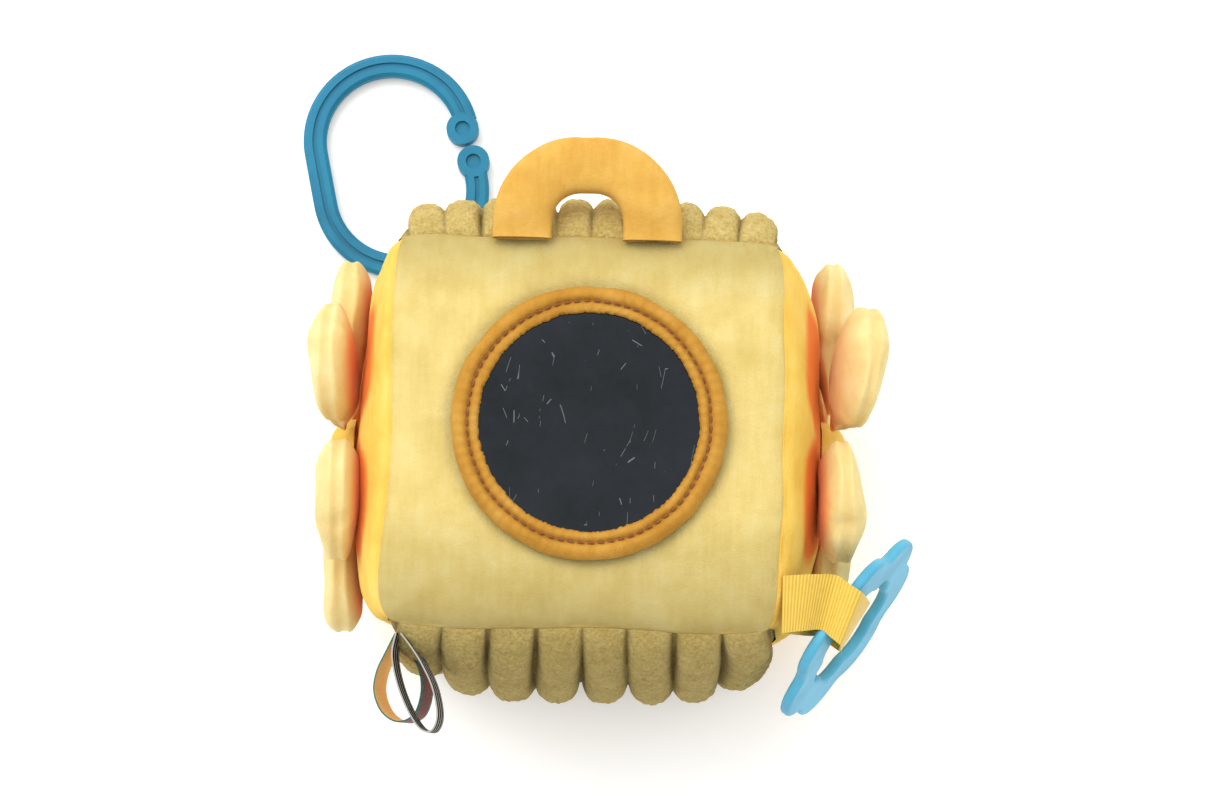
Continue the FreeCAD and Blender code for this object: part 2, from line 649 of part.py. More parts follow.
def make_ribbon():
    """The ribbon runs out from the seam, over the ring's upper limb, round it and back. It twists on its way,
    from the seam's direction to nearly the ring's."""
    frame = teether_frame()
    up, face = frame.Rotation.multVec(Vector(0, 1, 0)), frame.Rotation.multVec(Vector(0, 0, 1))
    half_t = v("teether_t") / 2 + RIBBON_SLACK
    high = frame.multVec(Vector(0, v("lobe_c") * math.cos(math.pi / v("lobes")) + v("lobe_r") + RIBBON_HIGH, 0))
    low = frame.multVec(Vector(0, v("eye_lobe_c") + v("eye_notch_r") + RIBBON_LOW, 0))
    seam_way, loop_way, thick = Vector(0, 1, 0), Vector(RIBBON_LOOP_WAY), v("ribbon_t")
    rungs = [
        rung(RIBBON_SEAM, seam_way, Vector(0, 0, thick)),
        rung(high - face * half_t, loop_way, up * thick),
        rung(high + face * half_t, loop_way, (up + face) * thick),
        rung(low + face * half_t, loop_way, (face - up) * thick),
        rung(low - face * half_t, loop_way, (up * -1 - face * 0.3) * thick),
        rung(RIBBON_SEAM - Vector(0, 0, 0.5), seam_way, Vector(0, 0, -thick)),
    ]
    subpart(feature(faceted_band(rungs), "ribbon_solid"), "teether_ribbon")


# ---------------------------------------------------------------- link clip and its tab

LINK_TOP = Vector(-74.1, 120.4, 0)
LINK_TILT = 12.5


def link_point(x, y):
    """A point of the clip's own plane: x across the oval, y up it from the middle of its upper round end."""
    tilt = Rotation(Vector(0, 0, 1), LINK_TILT)
    return LINK_TOP + tilt.multVec(Vector(x, y, 0)) + Vector(0, 0, v("link_z"))


def make_clip():
    radius, run, reach = v("link_r"), v("link_run"), v("knob_r") + v("knob_gap") / 2
    upper_knob_y, lower_knob_y = v("link_gap_y") + reach, v("link_gap_y") - reach
    angle = math.asin((upper_knob_y + 3) / radius)
    top_start = link_point(radius * math.cos(angle), radius * math.sin(angle))
    path = [
        Part.Arc(top_start, link_point(0, radius), link_point(-radius, 0)),
        Part.LineSegment(link_point(-radius, 0), link_point(-radius, -run)),
        Part.Arc(link_point(-radius, -run), link_point(0, -run - radius), link_point(radius, -run)),
        Part.LineSegment(link_point(radius, -run), link_point(radius, lower_knob_y - 1)),
    ]
    spine = feature(Part.Wire([p.toShape() for p in path]), "clip_spine")
    half, thick = v("link_band") / 2, v("link_t") / 2
    groove, depth, bevel = v("groove_w") / 2, v("groove_d"), 1.2
    points = []
    for s, t in ((1, 1), (1, -1), (-1, -1), (-1, 1)):
        side = [(s * groove, t * (thick - depth)), (s * groove, t * thick), (s * (half - bevel), t * thick), (s * half, t * (thick - bevel))]
        points += side if s * t > 0 else side[::-1]
    origin = top_start
    tangent = spine.Shape.Edges[0].tangentAt(spine.Shape.Edges[0].FirstParameter)
    across = tangent.cross(Vector(0, 0, 1)).normalize()
    corners = [origin + across * a + Vector(0, 0, b) for a, b in points]
    profile = feature(Part.makePolygon([*corners, corners[0]]), "clip_profile")
    band_sweep = doc.addObject("Part::Sweep", "clip_band")
    band_sweep.Sections = [profile]
    band_sweep.Spine = (spine, [f"Edge{k + 1}" for k in range(len(path))])
    band_sweep.Solid = True
    pieces, dimples = [band_sweep], []
    knobs = (link_point(radius - 1.6, upper_knob_y), link_point(radius, lower_knob_y))
    for k, middle in enumerate(knobs):
        knob = bind(doc.addObject("Part::Cylinder", f"knob_{k}"), Radius="knob_r", Height="link_t")
        knob.Placement.Base = middle - Vector(0, 0, v("link_t") / 2)
        pieces.append(knob)
        dimple = bind(doc.addObject("Part::Cylinder", f"dimple_{k}"), Radius="dimple_r", Height="2 * dimple_d")
        dimple.Placement.Base = middle + Vector(0, 0, v("link_t") / 2 - v("dimple_d"))
        dimples.append(dimple)
    whole = boolean("MultiFuse", "clip_whole", *pieces)
    first_cut = boolean("Cut", "clip_dimpled", whole, dimples[0])
    subpart(boolean("Cut", "clip_solid", first_cut, dimples[1]), "link_clip")


def make_tab(clear):
    """A short loop from the back corner's seam round the lower end of the clip."""
    middle = link_point(0, -v("link_run"))
    corner = Vector(-v("cube_w") / 2 - 2.4, v("cube_l") / 2 + 4.2, 0)
    flat_middle = Vector(middle.x, middle.y, 0)
    towards = (corner - flat_middle).normalize()
    along = Vector(-towards.y, towards.x, 0)
    hold = flat_middle + towards * v("link_r")
    half, thick = v("link_band") / 2 + 0.9, v("link_t") / 2 + 0.3
    z = v("link_z")
    low, high = z - thick, z + thick
    loop = [corner + Vector(0, 0, z + 0.6), corner + Vector(0, 0, z - 0.6)]
    loop += [hold + towards * half + Vector(0, 0, low), hold - towards * half + Vector(0, 0, low)]
    loop += [hold - towards * half + Vector(0, 0, high), hold + towards * half + Vector(0, 0, high)]
    loop = [p - along * (v("tab_w") / 2) for p in loop]
    strip = band(loop, v("ribbon_t"), along * v("tab_w"), "tab_strip")
    subpart(boolean("Cut", "tab_solid", strip, clear), "clip_tab")


# ---------------------------------------------------------------- tag loops at the lower left corner

TAG_ROOT = Vector(-60.5, -66.6, 0)


def tag_loop(label, top_z, round_c, round_r, sweep, clear):
    """A ribbon folded to a teardrop loop: two straight strands from the seam and a round end."""
    root = TAG_ROOT + Vector(0, 0, top_z)
    reach = round_c.Length
    half_angle = math.asin(round_r / reach)
    towards = Vector(round_c).normalize()
    side = Vector(-towards.y, towards.x, 0)
    centre = root + round_c
    touch = [centre + (side * s * math.cos(half_angle) - towards * math.sin(half_angle)) * round_r for s in (1, -1)]
    edges = [
        Part.LineSegment(root, touch[0]).toShape(),
        Part.Arc(touch[0], centre + towards * round_r, touch[1]).toShape(),
        Part.LineSegment(touch[1], root).toShape(),
    ]
    inner = Part.Face(Part.Wire(edges))
    outer = inner.makeOffset2D(v("tag_t"))
    strip = feature(outer.cut(inner).extrude(sweep), label + "_strip")
    subpart(boolean("Cut", label + "_solid", strip, clear), label)


def make_tags(clear):
    tag_loop("lined_tag", 115.4, Vector(0.6, -16.2, 0), 8, Vector(1.6, 0.2, -v("tag_w")), clear)
    tag_loop("striped_tag", 126.4, Vector(12, -22.2, 0), 4.6, Vector(1, 0, -v("tag_w")), clear)


# ---------------------------------------------------------------- the whole cube


def check_and_write():
    doc.recompute()
    os.makedirs("parts", exist_ok=True)
    for obj in doc.Objects:
        if "Invalid" in obj.State or "Error" in obj.State:
            raise RuntimeError(f"{obj.Label} failed: {obj.State}")
    for obj in subparts:
        shape = obj.Shape
        if shape.isNull() or not shape.isValid() or shape.Volume <= 0:
            raise RuntimeError(f"{obj.Label} has no valid shape")
        shape.exportStep(f"parts/{obj.Label}.step")
        print(f"{obj.Label:26s} {len(shape.Solids)} solid(s) {shape.Volume / 1000:9.3f} cm3")


fill_sheet()
cube_outside = swollen_cube("outside", 0)
cube_inside = swollen_cube("inside", v("panel_t"))
make_cube(cube_outside, cube_inside)
make_core(cube_inside)
make_mirror(cube_outside)
make_flowers(cube_outside)
make_handle()
make_teether()
make_ribbon()
make_clip()
sewing_room = swollen_cube("sewing_room", -v("clearance"))
make_tab(sewing_room)
make_tags(sewing_room)
check_and_write()
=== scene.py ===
import json
import math

import bmesh
import bpy
import numpy as np
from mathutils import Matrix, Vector, noise


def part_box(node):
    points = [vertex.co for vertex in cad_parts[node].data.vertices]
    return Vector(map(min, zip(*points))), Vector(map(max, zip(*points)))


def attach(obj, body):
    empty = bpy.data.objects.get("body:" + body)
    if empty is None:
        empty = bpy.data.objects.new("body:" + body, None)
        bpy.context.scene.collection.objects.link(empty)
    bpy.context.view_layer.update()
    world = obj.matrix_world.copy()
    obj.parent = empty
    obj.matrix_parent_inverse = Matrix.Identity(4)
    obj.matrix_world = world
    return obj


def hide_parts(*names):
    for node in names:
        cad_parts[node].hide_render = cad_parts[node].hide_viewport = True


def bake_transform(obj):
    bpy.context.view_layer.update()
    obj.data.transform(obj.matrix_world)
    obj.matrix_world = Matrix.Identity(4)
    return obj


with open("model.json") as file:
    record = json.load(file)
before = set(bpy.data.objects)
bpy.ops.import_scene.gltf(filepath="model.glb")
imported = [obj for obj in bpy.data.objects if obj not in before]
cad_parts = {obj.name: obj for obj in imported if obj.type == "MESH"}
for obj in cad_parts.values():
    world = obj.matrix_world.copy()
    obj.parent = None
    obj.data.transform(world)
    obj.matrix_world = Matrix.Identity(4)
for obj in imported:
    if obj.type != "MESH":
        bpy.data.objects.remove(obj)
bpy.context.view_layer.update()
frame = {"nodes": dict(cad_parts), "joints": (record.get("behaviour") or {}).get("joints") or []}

# Soft activity cube lying on its back, the mirror up. All lengths are in metres, in the CAD frame.
MM = 0.001

# Cube: half sizes at the seams, and how far each face swells.
HALF_W, HALF_L, HALF_D = 62 * MM, 63 * MM, 64 * MM
SIDE_SWELL = 15 * MM
END_SWELL = 13.5 * MM
FRONT_SWELL = 4.6 * MM
WAIST_SWELL = 4.5 * MM
CORNER_ROUNDING = 2.6 * MM
LOWER_CORNER_LIFT = 8 * MM
CORNER_PUFF = 3.5 * MM

MIRROR_LOW, MIRROR_HIGH = (np.array(corner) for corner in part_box("mirror"))
MIRROR_X, MIRROR_Y = ((MIRROR_LOW + MIRROR_HIGH) / 2)[:2]
RIM_OUT_R = 42 * MM


# ---------------------------------------------------------------- materials


def rgb(text):
    """Linear colour of an sRGB hex text."""
    channels = [int(text[k : k + 2], 16) / 255 for k in (1, 3, 5)]
    linear = [c / 12.92 if c <= 0.04045 else ((c + 0.055) / 1.055) ** 2.4 for c in channels]
    return (*linear, 1.0)


class Finish:
    """A node material in the making: small helpers that add nodes and join them."""

    def __init__(self, name, **sockets):
        self.material = bpy.data.materials.new(name)
        self.material.use_nodes = True
        self.tree = self.material.node_tree
        self.shader = self.tree.nodes["Principled BSDF"]
        for socket, value in sockets.items():
            self.shader.inputs[socket.replace("_", " ")].default_value = value
        self.place = self.add("ShaderNodeTexCoord").outputs["Object"]

    def add(self, kind, **values):
        node = self.tree.nodes.new(kind)
        for key, value in values.items():
            setattr(node, key, value)
        return node

    def join(self, source, target):
        self.tree.links.new(source, target)

    def noise(self, scale, detail=3.0, rough=0.55, stretch=None):
        node = self.add("ShaderNodeTexNoise")
        node.inputs["Scale"].default_value = scale
        node.inputs["Detail"].default_value = detail
        node.inputs["Roughness"].default_value = rough
        source = self.place
        if stretch:
            mapping = self.add("ShaderNodeMapping")
            mapping.inputs["Scale"].default_value = stretch
            self.join(source, mapping.inputs["Vector"])
            source = mapping.outputs["Vector"]
        self.join(source, node.inputs["Vector"])
        return node.outputs["Fac"]

    def ramp(self, factor, *stops):
        """stops are (position, colour) pairs."""
        node = self.add("ShaderNodeValToRGB")
        points = node.color_ramp.elements
        while len(points) < len(stops):
            points.new(0.5)
        for point, (position, colour) in zip(points, stops):
            point.position = position
            point.color = colour
        self.join(factor, node.inputs["Fac"])
        return node.outputs["Color"]

    def mix(self, factor, a, b, blend="MIX"):
        node = self.add("ShaderNodeMix", data_type="RGBA", blend_type=blend)
        for socket, value in ((node.inputs[0], factor), (node.inputs[6], a), (node.inputs[7], b)):
            if isinstance(value, (tuple, float)):
                socket.default_value = value
            else:
                self.join(value, socket)
        return node.outputs[2]

    def math(self, operation, a, b=0.0, c=0.0):
        node = self.add("ShaderNodeMath", operation=operation)
        for socket, value in zip(node.inputs, (a, b, c)):
            if isinstance(value, (int, float)):
                socket.default_value = value
            else:
                self.join(value, socket)
        return node.outputs[0]

    def bump(self, height, distance, strength=1.0, under=None):
        node = self.add("ShaderNodeBump")
        node.inputs["Distance"].default_value = distance
        node.inputs["Strength"].default_value = strength
        self.join(height, node.inputs["Height"])
        if under is not None:
            self.join(under, node.inputs["Normal"])
        return node.outputs["Normal"]

    def painted_shade_along_y(self, bottom, top):
        """Painted shade: a grey that runs from bottom at the cube's lower seam through 1 in the middle
        to top at the upper seam."""
        place = self.add("ShaderNodeSeparateXYZ")
        self.join(self.place, place.inputs[0])
        share = self.add("ShaderNodeMapRange")
        share.inputs["From Min"].default_value = -0.068
        share.inputs["From Max"].default_value = 0.068
        self.join(place.outputs["Y"], share.inputs["Value"])
        middle = (bottom + 1) / 2
        greys = ((0.0, bottom), (0.16, middle), (0.34, 1.0), (0.8, 1.0), (1.0, top))
        return self.ramp(share.outputs["Result"], *((at, (grey, grey, grey, 1)) for at, grey in greys))

    def attribute(self, name):
        return self.add("ShaderNodeAttribute", attribute_name=name).outputs["Fac"]

    def finish(self, colour, normal=None, roughness=None):
        self.join(colour, self.shader.inputs["Base Color"])
        if normal is not None:
            self.join(normal, self.shader.inputs["Normal"])
        if roughness is not None:
            self.join(roughness, self.shader.inputs["Roughness"])
        return self.material


def plush(name, base, shade, light, seam, ends=(1.0, 1.0)):
    """Short pile plush: nap in patches and in streaks along Y, a fine pile, painted shade at a seam and
    painted orange bounce light beside the petals. ends are painted shade: the brightness towards the bottom
    and the top of the cube."""
    f = Finish(name, Roughness=0.92, Sheen_Weight=0.25, Sheen_Roughness=0.45, Specular_IOR_Level=0.12)
    f.shader.inputs["Sheen Tint"].default_value = rgb(light)
    patches = f.noise(70, 5, 0.6)
    streaks = f.noise(420, 3, 0.6, stretch=(1, 0.14, 1))
    fine = f.noise(2600, 2, 0.7)
    colour = f.ramp(patches, (0.30, rgb(shade)), (0.52, rgb(base)), (0.72, rgb(light)))
    colour = f.mix(0.22, colour, f.ramp(streaks, (0.35, rgb(shade)), (0.65, rgb(light))))
    colour = f.mix(0.14, colour, f.ramp(fine, (0.3, rgb(shade)), (0.7, rgb(light))))
    # Painted shade towards the bottom and the top of the cube.
    if ends != (1.0, 1.0):
        colour = f.mix(1.0, colour, f.painted_shade_along_y(*ends), "MULTIPLY")
    # Painted shade in the crease at a seam.
    colour = f.mix(f.attribute("crease_shade"), colour, rgb(seam))
    # Painted orange bounce light where the side panels lie under the petals.
    colour = f.mix(f.attribute("painted_bounce_light"), colour, rgb("#EE6E2E"))
    soft = f.bump(f.noise(420, 4, 0.65), 0.0006, 0.5)
    return f.finish(colour, f.bump(fine, 0.0005, 0.6, soft))


def ribbed_plush():
    """Long soft pile in curls, with painted shade in the grooves between the ribs and towards the bottom of
    the cube.
    """
    f = Finish("ribbed_plush", Roughness=0.95, Sheen_Weight=0.3, Sheen_Roughness=0.5, Specular_IOR_Level=0.1)
    f.shader.inputs["Sheen Tint"].default_value = rgb("#E6D79A")
    curls = f.noise(900, 3, 0.7)
    patches = f.noise(160, 4, 0.6)
    colour = f.ramp(curls, (0.28, rgb("#9C8444")), (0.5, rgb("#C2A862")), (0.74, rgb("#DCC88A")))
    colour = f.mix(0.35, colour, f.ramp(patches, (0.35, rgb("#AA924C")), (0.65, rgb("#D2BE7A"))))
    # Painted shade, darker towards the bottom of the cube.
    colour = f.mix(1.0, colour, f.painted_shade_along_y(0.68, 1.0), "MULTIPLY")
    # Painted shade in the grooves between the ribs.
    colour = f.mix(f.attribute("crease_shade"), colour, rgb("#5E4A1E"))
    soft = f.bump(patches, 0.0015, 0.6)
    return f.finish(colour, f.bump(curls, 0.0012, 1.0, soft))


def plastic(name, base, shade, roughness):
    """Moulded soft plastic: nearly even, with faint flow marks and a little light inside."""
    f = Finish(name, Specular_IOR_Level=0.3, Subsurface_Weight=0.12, Subsurface_Scale=0.003, Coat_Weight=0.03)
    f.shader.inputs["Coat Roughness"].default_value = 0.25
    cloud = f.noise(60, 3, 0.5)
    colour = f.ramp(cloud, (0.35, rgb(shade)), (0.62, rgb(base)))
    rough = f.math("MULTIPLY_ADD", f.noise(300, 2), 0.12, roughness)
    return f.finish(colour, f.bump(f.noise(1400, 2), 0.00004, 0.4), rough)


def mirror_sheet():
    """Plastic mirror with hairline scratches and a few smudges."""
    f = Finish("mirror_sheet", Metallic=1.0)
    veins = f.noise(14, 2, 0.5, stretch=(1, 1, 0))
    bent = f.add("ShaderNodeMixRGB")
    bent.inputs["Fac"].default_value = 0.02
    f.join(f.place, bent.inputs["Color1"])
    f.join(veins, bent.inputs["Color2"])
    scratches = None
    for turn, scale, width in ((0.3, 95, 0.005), (1.2, 120, 0.005), (2.3, 80, 0.004)):
        mapping = f.add("ShaderNodeMapping")
        mapping.inputs["Rotation"].default_value = (0, 0, turn)
        mapping.inputs["Scale"].default_value = (1, 0.28, 0)
        f.join(bent.outputs["Color"], mapping.inputs["Vector"])
        cells = f.add("ShaderNodeTexVoronoi", feature="DISTANCE_TO_EDGE")
        cells.inputs["Scale"].default_value = scale
        f.join(mapping.outputs["Vector"], cells.inputs["Vector"])
        line = f.math("LESS_THAN", cells.outputs["Distance"], width)
        gate = f.math("GREATER_THAN", f.noise(scale * 0.8 + 20, 2, stretch=(1, 1, 0)), 0.6)
        line = f.math("MULTIPLY", line, gate)
        scratches = line if scratches is None else f.math("MAXIMUM", scratches, line)
    smudge = f.noise(40, 5, 0.7)
    colour = f.ramp(smudge, (0.3, rgb("#1B1D1F")), (0.75, rgb("#24272A")))
    colour = f.mix(f.math("MULTIPLY", scratches, 0.35), colour, rgb("#8D959A"))
    rough = f.math("MULTIPLY_ADD", scratches, 0.4, 0.07)
    return f.finish(colour, None, rough)


RIB_PITCH = 0.0011


def grosgrain(name, base, shade):
    """Ribbon with close ribs across it. The attribute along is the run along the ribbon in metres."""
    f = Finish(name, Roughness=0.55, Sheen_Weight=0.25, Sheen_Roughness=0.35, Specular_IOR_Level=0.35)
    run = f.attribute("along")
    wave = f.math("SINE", f.math("MULTIPLY", run, 2 * math.pi / RIB_PITCH))
    ribs = f.math("MULTIPLY_ADD", wave, 0.5, 0.5)
    # Painted shade in the troughs between the ribs.
    colour = f.ramp(ribs, (0.0, rgb(shade)), (0.6, rgb(base)))
    colour = f.mix(0.25, colour, f.ramp(f.noise(500, 3), (0.3, rgb(shade)), (0.7, rgb(base))))
    return f.finish(colour, f.bump(ribs, 0.00025, 0.8))


def striped_ribbon():
    """Dark ribbon with thin pale lines along it."""
    f = Finish("striped_ribbon", Roughness=0.8, Specular_IOR_Level=0.1)
    across = f.attribute("across")
    wave = f.math("SINE", f.math("MULTIPLY", across, 2 * math.pi / 0.0030))
    colour = f.ramp(wave, (0.80, rgb("#141210")), (0.92, rgb("#DAD5CB")))
    weave = f.noise(2500, 2)
    return f.finish(colour, f.bump(weave, 0.0002, 0.6))


def woven(name, base, shade, edge=None):
    """Plain woven ribbon; edge recolours a scalloped band along both sides."""
    f = Finish(name, Roughness=0.75, Sheen_Weight=0.2, Specular_IOR_Level=0.2)
    weave = f.noise(1800, 3)
    colour = f.ramp(weave, (0.3, rgb(shade)), (0.7, rgb(base)))
    if edge:
        phase = f.math("MULTIPLY", f.attribute("along"), math.pi / 0.0026)
        scallop = f.math("ABSOLUTE", f.math("SINE", phase))
        reach = f.math("MULTIPLY_ADD", scallop, 0.0011, 0.0034)
        outside = f.math("GREATER_THAN", f.math("ABSOLUTE", f.attribute("across")), reach)
        colour = f.mix(outside, colour, rgb(edge))
    return f.finish(colour, f.bump(weave, 0.0002, 0.6))


def thread(name, base, shade):
    """Twisted sewing thread."""
    f = Finish(name, Roughness=0.7, Sheen_Weight=0.3, Specular_IOR_Level=0.2)
    twist = f.noise(3000, 2)
    return f.finish(f.ramp(twist, (0.35, rgb(shade)), (0.65, rgb(base))), f.bump(twist, 0.0002, 0.7))


# ---------------------------------------------------------------- mesh helpers


def mesh_object(name, points, faces, material, closed=False):
    """closed turns every face outwards, for a mesh that has an inside."""
    mesh = bpy.data.meshes.new(name)
    mesh.from_pydata([tuple(p) for p in points], [], [tuple(f) for f in faces])
    mesh.update()
    obj = bpy.data.objects.new(name, mesh)
    bpy.context.scene.collection.objects.link(obj)
    for m in material if isinstance(material, (list, tuple)) else [material]:
        mesh.materials.append(m)
    mesh.polygons.foreach_set("use_smooth", [True] * len(mesh.polygons))
    if closed:
        shell = bmesh.new()
        shell.from_mesh(mesh)
        bmesh.ops.recalc_face_normals(shell, faces=shell.faces)
        shell.to_mesh(mesh)
        shell.free()
    return obj


def store(obj, name, values):
    """Keeps one number for each point, for a material to read."""
    attribute = obj.data.attributes.new(name, "FLOAT", "POINT")
    attribute.data.foreach_set("value", np.asarray(values, np.float32).ravel())


def grid_faces(rows, columns, start=0, close_columns=False):
    """Quads of a grid of points stored row by row from start."""
    faces = []
    for i in range(rows - 1):
        here, beyond = start + i * columns, start + (i + 1) * columns
        for j in range(columns if close_columns else columns - 1):
            k = (j + 1) % columns
            faces.append((here + j, beyond + j, beyond + k, here + k))
    return faces


def wobble(points, scale, seed):
    """Smooth noise from -1 to 1 at each point; scale is the size of a lump in metres."""
    offset = Vector((seed * 7.31, seed * 3.77, seed * 5.13))
    return np.array([noise.noise(Vector(p) / scale + offset) for p in points])


def smoothstep(x):
    """0 below 0, 1 above 1 and a smooth rise between."""
    x = np.clip(x, 0, 1)
    return x * x * (3 - 2 * x)


def normals_of(grid):
    """Unit normals of a grid of points, shaped (rows, columns, 3)."""
    along = np.gradient(grid, axis=0)
    across = np.gradient(grid, axis=1)
    normal = np.cross(along, across)
    return normal / np.maximum(np.linalg.norm(normal, axis=2, keepdims=True), 1e-12)


# ---------------------------------------------------------------- the cube's covers


def swell(q):
    """Fullness of a face at q, from -1 to 1 between its seams: 0 at a seam and 1 over most of the middle."""
    return 1 - np.abs(q) ** 3.2


def waist(qz):
    """How far the seams between the side faces stand out at a depth."""
    return WAIST_SWELL * (1 - qz**2)


def slump(x, y, z):
    """Soft unevenness of the whole cube: the same shift for every cover at the same place."""
    points = np.stack([x, y, z], axis=-1).reshape(-1, 3)
    side_x = wobble(points, 0.055, 3).reshape(x.shape)
    side_y = wobble(points, 0.055, 8).reshape(x.shape)
    ripple_x = wobble(points, 0.019, 5).reshape(x.shape)
    ripple_y = wobble(points, 0.019, 6).reshape(x.shape)
    share = smoothstep(z / 0.03)
    return (2.6 * side_x + 0.7 * ripple_x) * MM * share, (2.0 * side_y + 0.6 * ripple_y) * MM * share


def cube_point(qx, qy, qz):
    """The swollen cube's surface from the unit cube's, as three arrays."""
    x = qx * (HALF_W + waist(qz))
    y = qy * (HALF_L + waist(qz))
    z = HALF_D + qz * HALF_D
    on_x, on_y, on_z = np.abs(qx) > 0.9999, np.abs(qy) > 0.9999, qz > 0.9999
    round_z = np.sqrt(np.clip(1 - qz**2, 0, 1)) * 0.55 + (1 - qz**2) * 0.45
    x = x + on_x * np.sign(qx) * (SIDE_SWELL - WAIST_SWELL) * swell(qy) * round_z
    y = y + on_y * np.sign(qy) * (END_SWELL - WAIST_SWELL) * swell(qx) * round_z
    z = z + on_z * FRONT_SWELL * swell(qx) ** 0.6 * swell(qy) ** 0.6
    rounding = CORNER_ROUNDING * np.abs(qx * qy) ** 9
    lower = LOWER_CORNER_LIFT * np.abs(qx) ** 3 * (1 - qz**2) * (1 - 0.3 * (qx > 0)) * np.clip(-qy, 0, 1) ** 4
    shift_x, shift_y = slump(x, y, z)
    puff = CORNER_PUFF * np.exp(-((qx + 1) ** 2 + (qy + 0.8) ** 2) / 0.10 - ((qz - 1) / 0.45) ** 2)
    return x + shift_x - np.sign(qx) * rounding - puff, y + shift_y - np.sign(qy) * rounding + lower, z


SEAM_DEPTH = 1.1 * MM
SEAM_WIDTH = 3.0 * MM


def seam_dip(qx, qy, qz, distance):
    """Draws a cover in near a seam, the same way for both panels that meet there."""
    q = np.stack([qx, qy, qz], axis=2)
    inward = -np.sign(q) * np.abs(q) ** 12
    inward /= np.linalg.norm(inward, axis=2, keepdims=True)
    return inward * (SEAM_DEPTH * np.exp(-((distance / SEAM_WIDTH) ** 1.6)))[..., None]


PANELS = {
    "front_panel": ("z", 1, "pale_plush"),
    "back_panel": ("z", -1, "pale_plush"),
    "left_side_panel": ("x", -1, "gold_plush"),
    "right_side_panel": ("x", 1, "gold_plush"),
}


def panel_grid(axis, sign, n):
    """Unit cube grid of one face, rows and columns ordered so that the normals point out."""
    t = np.sin(np.linspace(-1, 1, n) * math.pi / 2 * 0.93) / math.sin(math.pi / 2 * 0.93)
    a, b = np.meshgrid(t, t, indexing="ij")
    one = np.full_like(a, float(sign))
    if axis == "z":
        return (a, b, one) if sign > 0 else (b, a, one)
    return (one, a, b) if sign > 0 else (one, b, a)


def to_petals(grid, sign):
    """Distance of each point from the middle line of the nearest petal on one side of the cube."""
    side = "right" if sign > 0 else "left"
    low, high = (np.array(corner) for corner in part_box(f"{side}_flower_button"))
    root = ((low + high) / 2)[1:]
    nearest = np.full(grid.shape[:2], 1.0)
    for k in range(6):
        low, high = (np.array(corner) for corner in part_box(f"{side}_petal_{k + 1}_cover"))
        way = ((low + high) / 2)[1:] - root
        lobe = way / np.linalg.norm(way) * 0.042
        share = np.clip(((grid[..., 1:] - root) @ lobe) / (lobe @ lobe), 0, 1)
        nearest = np.minimum(nearest, np.linalg.norm(grid[..., 1:] - root - share[..., None] * lobe, axis=2))
    return nearest


def pressed_by_rim(grid, height):
    """The mirror's rim is sewn down: it dents the front panel and pulls small folds round itself."""
    away = np.hypot(grid[..., 0] - MIRROR_X, grid[..., 1] - MIRROR_Y)
    height = height - 0.0016 * np.exp(-(((away - RIM_OUT_R) / 0.003) ** 2))
    sunk = np.minimum(height, -0.0006) - 0.0012 * smoothstep((RIM_OUT_R - away) / 0.005)
    height = np.where(away < RIM_OUT_R, sunk, height)
    angle = np.arctan2(grid[..., 1] - MIRROR_Y, grid[..., 0] - MIRROR_X)
    ring = np.stack([np.cos(angle).ravel() * 3.5, np.sin(angle).ravel() * 3.5, away.ravel() * 0], 1)
    folds = wobble(ring, 1.0, 21).reshape(away.shape) * np.exp(-np.abs(away - RIM_OUT_R - 0.004) / 0.008)
    return height + 0.0007 * folds


def smooth_panel(label, axis, sign, material, seed, n=150):
    """A plush panel: swollen, a little lumpy over its stuffing, and gathered into its seams."""
    qx, qy, qz = panel_grid(axis, sign, n)
    grid = np.stack(cube_point(qx, qy, qz), axis=2)
    normal = normals_of(grid)
    flat = grid.reshape(-1, 3)
    q = {"z": (qx, qy), "x": (qy, qz)}[axis]
    half = {"z": (HALF_W, HALF_L), "x": (HALF_L, HALF_D)}[axis]
    to_edge = [(1 - np.abs(c)) * h for c, h in zip(q, half)]
    edge = np.minimum(*to_edge)
    if label == "back_panel":
        height = -0.0003 * (1 + wobble(flat, 0.02, seed).reshape(n, n)) * smoothstep(edge / 0.01)
    else:
        lumps = 0.0011 * wobble(flat, 0.034, seed) + 0.0005 * wobble(flat, 0.012, seed + 5)
        run = np.where(to_edge[0] < to_edge[1], q[1] * half[1], q[0] * half[0])
        waves = np.stack([run.ravel() / 0.006, run.ravel() * 0, run.ravel() * 0], 1)
        gathers = wobble(waves, 1.0, seed + 9)
        gather_depth = 0.0006 * np.exp(-edge / 0.007) * smoothstep(edge / 0.001)
        height = lumps.reshape(n, n) * smoothstep(edge / 0.014)
        height = height + gathers.reshape(n, n) * gather_depth
    if label == "front_panel":
        height = pressed_by_rim(grid, height)
    grid = grid + normal * height[..., None] + seam_dip(qx, qy, qz, edge)
    obj = mesh_object(label + "_cover", grid.reshape(-1, 3), grid_faces(n, n), material)
    # Painted shade in the crease along the seams.
    store(obj, "crease_shade", 0.2 * np.exp(-((edge / 0.0012) ** 2)))
    # Painted orange bounce light on the side panels, in a band just under the petals' edges.
    if axis == "x":
        depth = smoothstep((np.abs(grid[..., 0]) - 0.0675) / 0.0030)
        store(obj, "painted_bounce_light", 0.95 * depth * smoothstep((0.0215 - to_petals(grid, sign)) / 0.006))
    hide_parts(label)
    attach(obj, "cube")
    return obj


